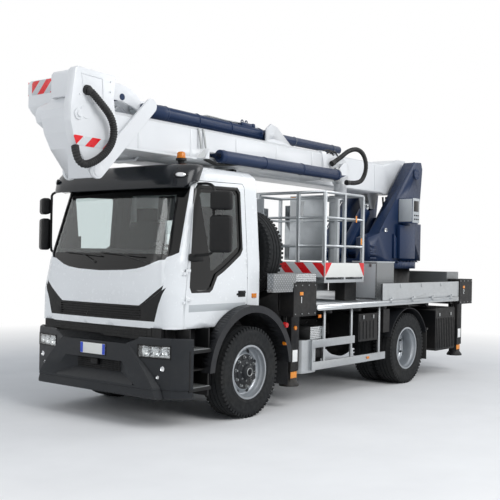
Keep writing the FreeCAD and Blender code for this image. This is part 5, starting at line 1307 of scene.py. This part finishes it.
HEAD_BOX = [(1250, 2880), (1600, 3015), (1930, 3250), (1985, 3310), (1985, 3560), (1960, 3590), (1500, 3590),
            (1250, 3400)]
HEAD_PLATE = [(1500, 3100), (1900, 3060), (2060, 3010), (2150, 3030), (2235, 3080), (2255, 3150),
              (2225, 3230), (2130, 3290), (1995, 3335), (1995, 3560), (1970, 3582), (1500, 3582)]
CHEEK = [(1775, 3545), (2262, 3562), (2290, 3535), (2335, 3200), (2335, 3040), (2300, 2910), (2270, 2830),
         (2150, 2680), (2125, 2667), (2100, 2670), (1950, 2790), (1800, 2900), (1770, 3100), (1800, 3330)]
CHEEK_RECESS = [(2215, 3500), (1955, 3490), (1942, 3305), (2025, 3240), (2060, 3240), (2190, 3330)]


def head_parts():
    """The head that carries the upper boom: box, plate, bridge, cheek, lug, pin and washers."""
    bm = bmesh.new()
    slab(bm, HEAD_BOX, "y", -290, 495, 14.0)
    slab(bm, HEAD_PLATE, "y", 180, 108, 8.0)
    slab(bm, [(1890, 3480), (2120, 3480), (2160, 3310), (2200, 3310), (2200, 3540), (2170, 3572),
              (1890, 3560)], "y", 350, 370, 10.0)
    block(bm, 1700, 1985, 230, 380, 3480, 3562, 8.0)
    slab(bm, CHEEK, "y", 712, 108, 12.0)
    for index, (x, z) in enumerate(CHEEK_RECESS):
        last_x, last_z = CHEEK_RECESS[index - 1]
        bar(bm, (x, CHEEK_FACE_Y, z), (last_x, CHEEK_FACE_Y, last_z), 7, 7, 8)
    link_shape(bm, 1730, LINK_PIN_Z, 55, 2000, 3500, 60, 440, 60)
    bar(bm, (1730, 372, LINK_PIN_Z), (1730, 568, LINK_PIN_Z), 30)
    bar(bm, (HEAD_PIN_X, 238, HEAD_PIN_Z), (HEAD_PIN_X, 826, HEAD_PIN_Z), 70, 70, 32)
    bar(bm, (HEAD_PIN_X, 238, HEAD_PIN_Z), (HEAD_PIN_X, 299.7, HEAD_PIN_Z), 105, 105, 36)
    bar(bm, (HEAD_PIN_X, 655.3, HEAD_PIN_Z), (HEAD_PIN_X, 714, HEAD_PIN_Z), 105, 105, 36)
    bar(bm, (2247, CHEEK_FACE_Y, 3110), (2247, 836, 3110), 56, 50, 28)
    bar(bm, (2247, 836, 3110), (2247, 852, 3110), 30, 26, 24)
    for x, z in ((2200, 3440), (2080, 3370), (2230, 3300), (1850, 3480), (1850, 3380), (2180, 2900)):
        bar(bm, (x, CHEEK_FACE_Y, z), (x, CHEEK_FACE_Y + 7, z), 12, 10, 6)
    finish(bm, "boom_head", "lower_extension", "boom_enamel_white", (), 28.0)


def lower_boom_parts():
    """The stripes and the cover of the head, and the lower boom's bands, ribs and pipes."""
    bm = bmesh.new()
    block(bm, 1985, 1988, -222, 84, 3430, 3572, 0.5)
    finish(bm, "head_stripes", "lower_extension", "hazard_head")
    bm = bmesh.new()
    block(bm, 1560, 1980, -290, -293, 3430, 3572, 0.5)
    plate(bm, [(2304, 2912), (1796, 2905), (1846, 2868), (1925, 2815), (2262, 2818)], "y",
          CHEEK_FACE_Y, 3)
    finish(bm, "cheek_stripes", "lower_extension", "hazard_side")
    bm = bmesh.new()
    bar(bm, (1700, -290, 3200), (1700, -304, 3200), 110, 104, 36)
    finish(bm, "head_cover", "lower_extension", "boom_enamel_white")
    bm = bmesh.new()
    for x in (-3380, -2380, -1380, -620):
        ring(bm, (x, 0, FAR_ROD_Z), (1, 0, 0), 63, 5, 28, 8)
    bar(bm, (-560, 0, FAR_ROD_Z), (-535, 0, FAR_ROD_Z), 60, 56, 28)
    finish(bm, "extend_bands", "lower_boom", "enamel_mid_grey")
    bm = bmesh.new()
    for side in (1, -1):
        block(bm, -4550, 775, side * 229, side * 233, 2866, 2890, 1.0)
        for x in (-4300, -3300, -2300, -1300, -300, 500):
            block(bm, x - 14, x + 14, side * 228, side * 236, 2900, 3280, 2.0)
    finish(bm, "lower_boom_ribs", "lower_boom", "boom_enamel_white")
    bm = bmesh.new()
    bar(bm, (-5200, 232, 3200), (-5200, 240, 3200), 60, 55, 24)
    hose(bm, [(-5000, -150, 3350), (-4500, -160, 3352), (-3000, -165, 3348), (-1000, -165, 3348),
              (800, -165, 3350)], 13, 200)
    hose(bm, [(-5000, -185, 3350), (-4500, -195, 3352), (-3000, -198, 3348), (-1000, -198, 3348),
              (800, -198, 3350)], 13, 200)
    finish(bm, "lower_boom_pipes", "lower_boom", "zinc_steel")


def upper_boom_parts():
    """The fold link's plates and pins, the cylinders' bands and pipes, and the upper boom's covers."""
    bm = bmesh.new()
    arch = [(1779, 3382), (1792, 3420), (1779, 3458), (1730, 3500), (1640, 3538), (1500, 3552), (1370, 3532),
            (1250, 3478), (1190, 3424), (1125, 3421), (1092, 3375), (1098, 3328), (1135, 3294), (1190, 3297),
            (1300, 3340), (1460, 3378), (1620, 3378), (1730, 3358)]
    for y in (378, 538):
        slab(bm, arch, "y", y, 24, 3.0)
    finish(bm, "fold_link_plates", "fold_links", "boom_enamel_white", ("fold_link",))
    bm = bmesh.new()
    bar(bm, (1457, 372, LINK_PIN_Z), (1457, 568, LINK_PIN_Z), 34, 34, 20)
    bar(bm, (1160, 366, 3360), (1160, 574, 3360), 38, 38, 24)
    finish(bm, "fold_link_pins", "fold_links", "enamel_navy")
    bm = bmesh.new()
    start = Vector((-1050, 477.5, 3330))
    along = Vector((2210, 0, 30)).normalized()
    for distance in (120, 700, 1280, 1800):
        ring(bm, start + along * distance, along, 81, 7, 32, 8)
    turned(bm, [(54, 1870), (54, 2112), (74, 2112), (80, 2100), (80, 1900), (84, 1880), (84, 1790),
                (79, 1780), (79, 1770), (54, 1770)], start, along, 36)
    finish(bm, "fold_barrel_bands", "fold_cylinder", "enamel_navy")
    bm = bmesh.new()
    block(bm, -760, -560, 425, 530, 3395, 3440, 8.0)
    block(bm, -840, -790, 440, 515, 3395, 3452, 10.0)
    ring(bm, (-700, 478, 3456), (0, 1, 0), 20, 7, 20, 8)
    ring(bm, (-620, 478, 3456), (0, 1, 0), 20, 7, 20, 8)
    finish(bm, "fold_port_block", "fold_cylinder", "enamel_navy")
    bm = bmesh.new()
    for y in (455, 500):
        hose(bm, [(-590, y, 3432), (-300, y, 3424), (60, y, 3432), (120, y, 3410)], 8, 90)
    finish(bm, "fold_pipes", "fold_cylinder", "zinc_steel")
    bm = bmesh.new()
    for x in (-2330, -1500, -700, 60):
        ring(bm, (x, NEAR_ROD_Y, NEAR_ROD_Z), (1, 0, 0), 73, 5, 28, 8)
    turned(bm, [(34, 124), (70, 124), (75, 112), (75, 60), (34, 60)], (0, NEAR_ROD_Y, NEAR_ROD_Z), (1, 0, 0),
           28)
    finish(bm, "extend_barrel_bands", "upper_extension", "enamel_navy")
    bm = bmesh.new()
    for x in (300, 380):
        hose(bm, [(x, 657, 3230), (x + 6, 690, 3120), (x - 2, 700, 2990), (x - 20, 690, 2890)], 11, 40)
    finish(bm, "upper_boom_pipes", "upper_boom", "zinc_steel")
    bm = bmesh.new()
    for y, way in ((698, 1), (254, -1)):
        turned(bm, [(0.05, 0), (60, 0), (60, 10 * way), (50, 14 * way), (0.05, 14 * way)], (1880, y, 2620),
               (0, 1, 0), 28)
    finish(bm, "upper_boom_covers", "upper_boom", "boom_enamel_white")
    bm = bmesh.new()
    for x in (-1900, -1100, -300, 500, 1300):
        block(bm, x - 12, x + 12, 654, 660, 2905, 3205, 2.0)
    block(bm, -2110, 1700, 653, 658, 2880, 2900, 1.0)
    finish(bm, "upper_boom_ribs", "upper_boom", "boom_enamel_white")


def boom_hoses():
    """The corrugated hoses at the fold and at the tip, and the small ones beside them."""
    sizes = bpy.context.scene.truck_sizes
    bm = bmesh.new()
    hose(bm, [(2152, 822, 3349), (2140, 870, 3330), (2040, 900, 3232), (1930, 905, 3130), (1880, 905, 3020),
              (1890, 905, 2900), (1960, 900, 2785), (2075, 890, 2690), (2200, 880, 2640), (2270, 870, 2670),
              (2290, 850, 2740), (2280, 822, 2800)],
         sizes.fold_hose_radius * 1000, 11.0, 7.0, 14)
    bar(bm, (2152, 820, 3349), (2150, 850, 3345), 50, 46, 20)
    finish(bm, "fold_hose", "lower_extension", "neoprene")
    bm = bmesh.new()
    hose(bm, [(-2343, 690, 3104), (-2480, 715, 3180), (-2700, 720, 3300), (-2920, 715, 3352),
              (-3110, 705, 3318), (-3215, 700, 3200), (-3225, 690, 3060), (-3120, 690, 2930),
              (-2940, 700, 2880), (-2760, 690, 2868)],
         sizes.tip_hose_radius * 1000, 10.0, 6.0, 12)
    finish(bm, "tip_hoses", "upper_extension", "neoprene")
    bm = bmesh.new()
    block(bm, -2420, -2520, 668, 700, 2860, 3050, 8.0)
    for x in (-2440, -2470, -2500):
        bar(bm, (x, 690, 2880), (x, 716, 2880), 12)
        bar(bm, (x, 690, 3020), (x, 716, 3020), 12)
    finish(bm, "tip_fittings", "upper_extension", "zinc_steel")
    bm = bmesh.new()
    bar(bm, (-2325, 690, 3092), (-2380, 700, 3120), 40, 36, 18)
    bar(bm, (-2714, 690, 2866), (-2790, 692, 2870), 38, 34, 18)
    hose(bm, [(-2400, 430, 3215), (-2540, 420, 3310), (-2700, 430, 3320), (-2800, 450, 3200)], 11, 40)
    hose(bm, [(-2390, 500, 3215), (-2520, 510, 3280), (-2660, 520, 3300), (-2790, 520, 3210)], 11, 40)
    finish(bm, "tip_small_hoses", "upper_extension", "neoprene")
    bm = bmesh.new()
    for y in (685, 712):
        hose(bm, [(300, y, 2890), (120, y + 6, 2850), (-80, y + 10, 2862), (-260, y + 4, 2885)], 15, 40)
    finish(bm, "feed_hoses", "upper_boom", "neoprene")


def basket_parts():
    """The basket with its striped kick plates, back panel, boxes, console and reflectors."""
    bm = bmesh.new()
    block(bm, -1718, -1715, -440, 990, 1552, 1738, 0.5)
    block(bm, -2712, -2715, -440, 990, 1552, 1738, 0.5)
    finish(bm, "kick_stripes_ends", "work_basket", "hazard_front")
    bm = bmesh.new()
    block(bm, -1725, -2705, 1001, 1004, 1552, 1738, 0.5)
    block(bm, -1725, -2705, -451, -454, 1552, 1738, 0.5)
    finish(bm, "kick_stripes_sides", "work_basket", "plate_white")
    bm = merged_copy("basket")
    # The solid's own back panel makes way for the narrower one below.
    panel_x = at(-2684, 0, 0).x
    panel = [face for face in bm.faces if all(abs(vert.co.x - panel_x) < 0.003 for vert in face.verts)]
    bmesh.ops.delete(bm, geom=panel, context="FACES")
    skin(bm, "basket", "aluminium_post")
    bm = bmesh.new()
    block(bm, -2687, -2681, -250, 395, 1760, 2700, 1.0)
    finish(bm, "basket_panels", "work_basket", "aluminium_post")
    bm = bmesh.new()
    block(bm, -2678, -2681, -236, -10, 2310, 2620, 0.5)
    finish(bm, "basket_sheet", "work_basket", "film_white")
    bm = bmesh.new()
    for start, end in ((-1735, -1885), (-2700, -2570)):
        plate(bm, [(start, 1742), (end, 1742), (start, 1560)], "y", 1004, 2)
    finish(bm, "kick_corners", "work_basket", "film_red")
    bm = bmesh.new()
    block(bm, -1700, -1722, -160, 5, 2380, 2590, 6.0)
    block(bm, -1950, -2100, -428, -212, 2300, 2484, 8.0)
    finish(bm, "basket_boxes", "work_basket", "enamel_grey")
    bm = bmesh.new()
    for column in range(4):
        x = -1970 - column * 36
        bar(bm, (x, -320, 2484), (x, -320, 2530), 7, 12, 10)
    for row in range(2):
        bar(bm, (-1960 - row * 60, -250, 2484), (-1960 - row * 60, -250, 2500), 14, 14, 14)
    finish(bm, "console_controls", "work_basket", "plastic_black")
    bm = bmesh.new()
    block(bm, -2678, -2681, -236, -150, 2645, 2685, 0.5)
    block(bm, -2470, -2500, 1001, 1005, 2290, 2380, 0.5)
    block(bm, -2612, -2644, 1001, 1005, 1990, 2080, 0.5)
    finish(bm, "basket_reflectors", "work_basket", "reflector_amber")
    bm = bmesh.new()
    for x in range(-1760, -2700, -46):
        block(bm, x, x - 8, -430, 980, 1518, 1526, 0.0)
    finish(bm, "basket_floor_ribs", "work_basket", "lozenge_plate")


def interior_parts():
    """The dash's top and panels and the belts, seen through the glass."""
    bm = bmesh.new()
    block(bm, 720, 1070, -930, 930, 1700, 1862, 30.0)
    block(bm, 905, 935, 590, 830, 2170, 2430, 20.0)
    block(bm, 700, 1060, -930, 930, 1470, 1700)
    finish(bm, "dash_top", "truck", "plastic_black")
    bm = bmesh.new()
    block(bm, 800, 812, 330, 730, 1660, 1712, 6.0)
    block(bm, 782, 796, -60, 180, 1500, 1640, 6.0)
    for y in (450, 610):
        ring(bm, (792, y, 1680), (1, 0, 0), 34, 4, 24, 8)
    finish(bm, "dash_panels", "truck", "glass_black_band")
    bm = bmesh.new()
    for y in (530, -530):
        side = 1 if y > 0 else -1
        block(bm, 40, 48, y + side * 170, y + side * 215, 1700, 2150, 1.0)
        bar(bm, (-40, y - 60, 2180), (-40, y - 60, 2240), 7)
        bar(bm, (-40, y + 60, 2180), (-40, y + 60, 2240), 7)
    finish(bm, "belts", "truck", "neoprene")


def hidden_side_parts():
    """Rear plate, mud flaps and roof hatch, where the photograph doesn't look."""
    bm = bmesh.new()
    block(bm, -5771, -5774, -260, 260, 478, 582, 1.0)
    finish(bm, "rear_plate", "truck", "plate_white")
    bm = bmesh.new()
    for side in (1, -1):
        block(bm, -4290, -4300, side * 600, side * 1180, 300, 760, 2.0)
        block(bm, -4300, -4340, side * 420, side * 1180, 740, 770, 2.0)
    finish(bm, "rear_flaps", "truck", "neoprene")
    bm = bmesh.new()
    block(bm, 120, 620, -280, 280, 2763, 2790, 12.0)
    finish(bm, "roof_hatch", "truck", "cab_enamel_white")


# Stage

def straight_sight(tree):
    """One where the camera looks, straight, in a mirror or through glass, and nought for every other ray."""
    path = add(tree, "LightPath").node.outputs
    sharp = add(tree, "Math", [path["Is Camera Ray"], path["Is Glossy Ray"]], operation="MAXIMUM")
    return add(tree, "Math", [sharp, path["Is Transmission Ray"]], operation="MAXIMUM")


# The camera that took the photograph, found by fitting known sizes: its place in metres, its yaw, pitch and
# roll in degrees, its sensor in millimetres and the rest in the photograph's pixels.
CAMERA_PLACE = (9.2459, 7.0290, 1.8093)
CAMERA_ANGLES = (38.06, 0.147, 1.0704)
SENSOR_WIDTH = 36.0
PHOTO_PIXELS = 500.0
FOCAL_PIXELS = 850.58
MIDDLE_PIXEL = (252.276, 253.864)


def studio():
    """Camera at the photograph's place, pale floor, soft lamps and a white backdrop."""
    scene = bpy.context.scene
    yaw, pitch, roll = [math.radians(angle) for angle in CAMERA_ANGLES]
    look = Vector((-math.cos(yaw) * math.cos(pitch), -math.sin(yaw) * math.cos(pitch), math.sin(pitch)))
    right = look.cross(Vector((0, 0, 1))).normalized()
    up = right.cross(look)
    tilted = right * math.cos(roll) + up * math.sin(roll)
    raised = -right * math.sin(roll) + up * math.cos(roll)
    camera_data = bpy.data.cameras.new("camera")
    camera_data.sensor_width = SENSOR_WIDTH
    camera_data.lens = FOCAL_PIXELS * SENSOR_WIDTH / PHOTO_PIXELS
    camera_data.shift_x = (PHOTO_PIXELS / 2 - MIDDLE_PIXEL[0]) / PHOTO_PIXELS
    camera_data.shift_y = (MIDDLE_PIXEL[1] - PHOTO_PIXELS / 2) / PHOTO_PIXELS
    camera = bpy.data.objects.new("camera", camera_data)
    turn = Matrix((tilted, raised, -look)).transposed().to_4x4()
    camera.matrix_world = Matrix.Translation(CAMERA_PLACE) @ turn
    scene.collection.objects.link(camera)
    scene.camera = camera
    scene.view_settings.view_transform = "Standard"

    world = bpy.data.worlds.new("backdrop")
    world.use_nodes = True
    tree = world.node_tree
    tree.nodes.clear()
    sky = add(tree, "Background", [(0.86, 0.92, 1.0), 0.46])
    white = add(tree, "Background", [(1.0, 1.0, 1.0), 1.0])
    add(tree, "OutputWorld", [add(tree, "MixShader", [straight_sight(tree), sky, white])])
    scene.world = world

    bm = bmesh.new()
    bmesh.ops.create_grid(bm, x_segments=1, y_segments=1, size=scene.truck_sizes.floor_half)
    mesh = bpy.data.meshes.new("floor")
    bm.to_mesh(mesh)
    bm.free()
    floor = bpy.data.objects.new("floor", mesh)
    scene.collection.objects.link(floor)
    mesh.materials.append(floor_surface())

    for name, spot, aim, size, power in (
        ("key", (3.0, 11.0, 9.0), (0.0, 0.0, 1.4), 7.0, 900.0),
        ("fill", (12.0, -3.0, 7.0), (1.0, 0.0, 1.5), 6.0, 260.0),
        ("back", (-9.0, 6.0, 8.0), (-1.5, 0.0, 1.5), 6.0, 260.0),
    ):
        data = bpy.data.lights.new(name, "AREA")
        data.shape = "SQUARE"
        data.size = size
        data.energy = power
        lamp = bpy.data.objects.new(name, data)
        turn = (Vector(aim) - Vector(spot)).to_track_quat("-Z", "Y").to_matrix().to_4x4()
        lamp.matrix_world = Matrix.Translation(spot) @ turn
        scene.collection.objects.link(lamp)


def floor_surface():
    """Pale matt concrete near the object that fades into the white backdrop far from it."""
    material = bpy.data.materials.new("matt_floor")
    material.use_nodes = True
    tree = material.node_tree
    tree.nodes.clear()
    place = add(tree, "TexCoord").node.outputs["Object"]
    patches = uneven(tree, place, 700.0, 0.0, 1.0, 5.0)
    matt = add(tree, "BsdfDiffuse", [add(tree, "Mix", [patches, (0.90, 0.90, 0.90), (0.86, 0.86, 0.86)],
                                         data_type="RGBA")])
    glow = add(tree, "Emission", [(1.0, 1.0, 1.0), 1.0])
    distance = add(tree, "VectorMath", [place], operation="LENGTH")
    far = add(tree, "MapRange", [distance, 5.0, 11.0, 0.0, 1.0])
    share = add(tree, "Math", [far, straight_sight(tree)], operation="MULTIPLY")
    add(tree, "OutputMaterial", [add(tree, "MixShader", [share, matt, glow])])
    return material


# Add-on

class TruckSizes(bpy.types.PropertyGroup):
    """Sizes that a user may change before the pieces are made."""
    floor_half: bpy.props.FloatProperty(
        name="Floor", description="Half the floor's side", default=60.0, min=10.0, unit="LENGTH")
    fold_hose_radius: bpy.props.FloatProperty(
        name="Fold hose", description="Radius of the corrugated hose at the fold", default=0.032, min=0.01,
        unit="LENGTH")
    tip_hose_radius: bpy.props.FloatProperty(
        name="Tip hose", description="Radius of the corrugated hose at the tip", default=0.027, min=0.01,
        unit="LENGTH")
    side_stripe: bpy.props.FloatProperty(
        name="Side stripes", description="Width of a bar on the sides' warning sheets", default=0.078,
        min=0.01, unit="LENGTH")
    front_stripe: bpy.props.FloatProperty(
        name="Front stripes", description="Width of a bar on the basket's front warning sheet", default=0.1,
        min=0.01, unit="LENGTH")
    head_stripe: bpy.props.FloatProperty(
        name="Head stripes", description="Width of a bar on the boom head's warning sheet", default=0.072,
        min=0.01, unit="LENGTH")
    mirror_width: bpy.props.FloatProperty(
        name="Mirrors", description="Width of the mirrors' housings", default=0.232, min=0.1, unit="LENGTH")
    beacon_radius: bpy.props.FloatProperty(
        name="Beacon", description="Radius of the beacon's lens", default=0.05, min=0.035, unit="LENGTH")
    grille_cell: bpy.props.FloatProperty(
        name="Honeycomb", description="Radius of a cell behind the grille", default=0.017, min=0.01,
        unit="LENGTH")
    tread_blocks: bpy.props.IntProperty(
        name="Tread blocks", description="Blocks in one row of a tyre's tread", default=60, min=24, max=90)


class TruckColours(bpy.types.PropertyGroup):
    """Colours that a user may change before the pieces are made."""
    cab_white: bpy.props.FloatVectorProperty(
        name="Cab", description="Enamel of the cab and its doors", subtype="COLOR", size=3,
        default=linear("E9ECEE"))
    boom_white: bpy.props.FloatVectorProperty(
        name="Booms", description="Enamel of the booms and their head", subtype="COLOR", size=3,
        default=linear("E8EAEC"))
    navy: bpy.props.FloatVectorProperty(
        name="Turret", description="Enamel of the turret and the cylinders", subtype="COLOR", size=3,
        default=linear("11294C"))
    box_grey: bpy.props.FloatVectorProperty(
        name="Boxes", description="Enamel of the locker's lid, the cabinet and the console", subtype="COLOR",
        size=3, default=linear("B9BEC1"))
    chassis_black: bpy.props.FloatVectorProperty(
        name="Chassis", description="Paint of the frame, the axles and the outriggers", subtype="COLOR",
        size=3, default=linear("131416"))
    bumper_grey: bpy.props.FloatVectorProperty(
        name="Bumper", description="Plastic of the bumper", subtype="COLOR", size=3, default=linear("1F2226"))
    wheel_silver: bpy.props.FloatVectorProperty(
        name="Wheels", description="Lacquer of the wheels", subtype="COLOR", size=3, default=linear("A6ABB0"))
    stripe_red: bpy.props.FloatVectorProperty(
        name="Stripes, red", description="Red bars of the warning sheets", subtype="COLOR", size=3,
        default=linear("E0101C"))
    stripe_pale: bpy.props.FloatVectorProperty(
        name="Stripes, pale", description="Pale bars of the warning sheets", subtype="COLOR", size=3,
        default=linear("D4D8DA"))
    amber: bpy.props.FloatVectorProperty(
        name="Amber lamps", description="Plastic of the amber lamps", subtype="COLOR", size=3,
        default=linear("F08A10"))


class TRUCK_OT_nodes(bpy.types.Operator):
    """Skins for the solids that keep their shape"""
    bl_idname = "truck.nodes"
    bl_label = "Solids"

    def execute(self, context):
        dress_nodes()
        return {"FINISHED"}


class TRUCK_OT_cab(bpy.types.Operator):
    """The cab's shell, doors and glass"""
    bl_idname = "truck.cab"
    bl_label = "Cab"

    def execute(self, context):
        dress_cab()
        return {"FINISHED"}


class TRUCK_OT_visor(bpy.types.Operator):
    """The sun visor and its marker lamps"""
    bl_idname = "truck.visor"
    bl_label = "Visor"

    def execute(self, context):
        visor_parts()
        return {"FINISHED"}


class TRUCK_OT_mirrors(bpy.types.Operator):
    """The mirrors with their poles and glasses"""
    bl_idname = "truck.mirrors"
    bl_label = "Mirrors"

    def execute(self, context):
        mirror_parts()
        return {"FINISHED"}


class TRUCK_OT_cab_front(bpy.types.Operator):
    """The grille's honeycomb and the wipers"""
    bl_idname = "truck.cab_front"
    bl_label = "Cab front"

    def execute(self, context):
        cab_front_parts()
        return {"FINISHED"}


class TRUCK_OT_cab_sides(bpy.types.Operator):
    """The doors' handles and lines and the side lamps"""
    bl_idname = "truck.cab_sides"
    bl_label = "Cab sides"

    def execute(self, context):
        cab_side_parts()
        return {"FINISHED"}


class TRUCK_OT_lamps(bpy.types.Operator):
    """The lamps and their lenses"""
    bl_idname = "truck.lamps"
    bl_label = "Lamps"

    def execute(self, context):
        lamps()
        return {"FINISHED"}


class TRUCK_OT_wheels(bpy.types.Operator):
    """The tyres, the wheels' middles and their nuts"""
    bl_idname = "truck.wheels"
    bl_label = "Wheels"

    def execute(self, context):
        wheel_parts()
        return {"FINISHED"}


class TRUCK_OT_bumper(bpy.types.Operator):
    """The bumper, the plate and the lamps' frames"""
    bl_idname = "truck.bumper"
    bl_label = "Bumper"

    def execute(self, context):
        bumper_parts()
        return {"FINISHED"}


class TRUCK_OT_chassis(bpy.types.Operator):
    """The tanks, the silencer, the bolts and the steps' treads"""
    bl_idname = "truck.chassis"
    bl_label = "Chassis"

    def execute(self, context):
        chassis_parts()
        return {"FINISHED"}


class TRUCK_OT_outriggers(bpy.types.Operator):
    """The outriggers' end plates, numbers and hoses"""
    bl_idname = "truck.outriggers"
    bl_label = "Outriggers"

    def execute(self, context):
        outrigger_parts()
        return {"FINISHED"}


class TRUCK_OT_deck(bpy.types.Operator):
    """The deck's lip, boards, lockers and boxes"""
    bl_idname = "truck.deck"
    bl_label = "Deck"

    def execute(self, context):
        deck_parts()
        return {"FINISHED"}


class TRUCK_OT_turret(bpy.types.Operator):
    """The turret's details and its control cabinet"""
    bl_idname = "truck.turret"
    bl_label = "Turret"

    def execute(self, context):
        turret_parts()
        return {"FINISHED"}


class TRUCK_OT_booms(bpy.types.Operator):
    """The booms' sections, barrels and rods"""
    bl_idname = "truck.booms"
    bl_label = "Boom sections"

    def execute(self, context):
        dress_booms()
        return {"FINISHED"}


class TRUCK_OT_head(bpy.types.Operator):
    """The head that carries the upper boom"""
    bl_idname = "truck.head"
    bl_label = "Boom head"

    def execute(self, context):
        head_parts()
        return {"FINISHED"}


class TRUCK_OT_lower_boom(bpy.types.Operator):
    """The lower boom's stripes, covers and bands"""
    bl_idname = "truck.lower_boom"
    bl_label = "Lower boom"

    def execute(self, context):
        lower_boom_parts()
        return {"FINISHED"}


class TRUCK_OT_upper_boom(bpy.types.Operator):
    """The upper boom's bands, pipes and links"""
    bl_idname = "truck.upper_boom"
    bl_label = "Upper boom"

    def execute(self, context):
        upper_boom_parts()
        return {"FINISHED"}


class TRUCK_OT_hoses(bpy.types.Operator):
    """The booms' hoses"""
    bl_idname = "truck.hoses"
    bl_label = "Hoses"

    def execute(self, context):
        boom_hoses()
        return {"FINISHED"}


class TRUCK_OT_basket(bpy.types.Operator):
    """The work basket and what hangs on it"""
    bl_idname = "truck.basket"
    bl_label = "Basket"

    def execute(self, context):
        basket_parts()
        return {"FINISHED"}


class TRUCK_OT_interior(bpy.types.Operator):
    """What shows through the cab's glass"""
    bl_idname = "truck.interior"
    bl_label = "Interior"

    def execute(self, context):
        interior_parts()
        return {"FINISHED"}


class TRUCK_OT_hidden_sides(bpy.types.Operator):
    """The rear plate, the flaps and the roof hatch"""
    bl_idname = "truck.hidden_sides"
    bl_label = "Hidden sides"

    def execute(self, context):
        hidden_side_parts()
        return {"FINISHED"}


class TRUCK_OT_stage(bpy.types.Operator):
    """The camera, the floor, the lamps and the backdrop"""
    bl_idname = "truck.stage"
    bl_label = "Stage"

    def execute(self, context):
        studio()
        return {"FINISHED"}


OPERATORS = (
    TRUCK_OT_nodes, TRUCK_OT_cab, TRUCK_OT_visor, TRUCK_OT_mirrors, TRUCK_OT_cab_front, TRUCK_OT_cab_sides,
    TRUCK_OT_lamps, TRUCK_OT_wheels, TRUCK_OT_bumper, TRUCK_OT_chassis, TRUCK_OT_outriggers, TRUCK_OT_deck,
    TRUCK_OT_turret, TRUCK_OT_booms, TRUCK_OT_head, TRUCK_OT_lower_boom, TRUCK_OT_upper_boom,
    TRUCK_OT_hoses, TRUCK_OT_basket, TRUCK_OT_interior, TRUCK_OT_hidden_sides, TRUCK_OT_stage,
)


class TRUCK_PT_panel(bpy.types.Panel):
    """Lists the truck's sizes, colours and pieces in the sidebar."""
    bl_label = "Truck"
    bl_idname = "TRUCK_PT_panel"
    bl_space_type = "VIEW_3D"
    bl_region_type = "UI"
    bl_category = "Truck"

    def draw(self, context):
        for group in (context.scene.truck_sizes, context.scene.truck_colours):
            for name in type(group).__annotations__:
                self.layout.prop(group, name)
        for kind in OPERATORS:
            self.layout.operator(kind.bl_idname)


CLASSES = (TruckSizes, TruckColours, *OPERATORS, TRUCK_PT_panel)


def register():
    """Registers the classes and hangs the two groups on the scene."""
    for kind in CLASSES:
        bpy.utils.register_class(kind)
    bpy.types.Scene.truck_sizes = bpy.props.PointerProperty(type=TruckSizes)
    bpy.types.Scene.truck_colours = bpy.props.PointerProperty(type=TruckColours)


def unregister():
    """Takes the groups and the classes away again."""
    del bpy.types.Scene.truck_colours
    del bpy.types.Scene.truck_sizes
    for kind in reversed(CLASSES):
        bpy.utils.unregister_class(kind)


def main():
    """Makes every piece in order."""
    register()
    for kind in OPERATORS:
        getattr(bpy.ops.truck, kind.bl_idname.split(".")[1])()


if __name__ == "__main__":
    main()
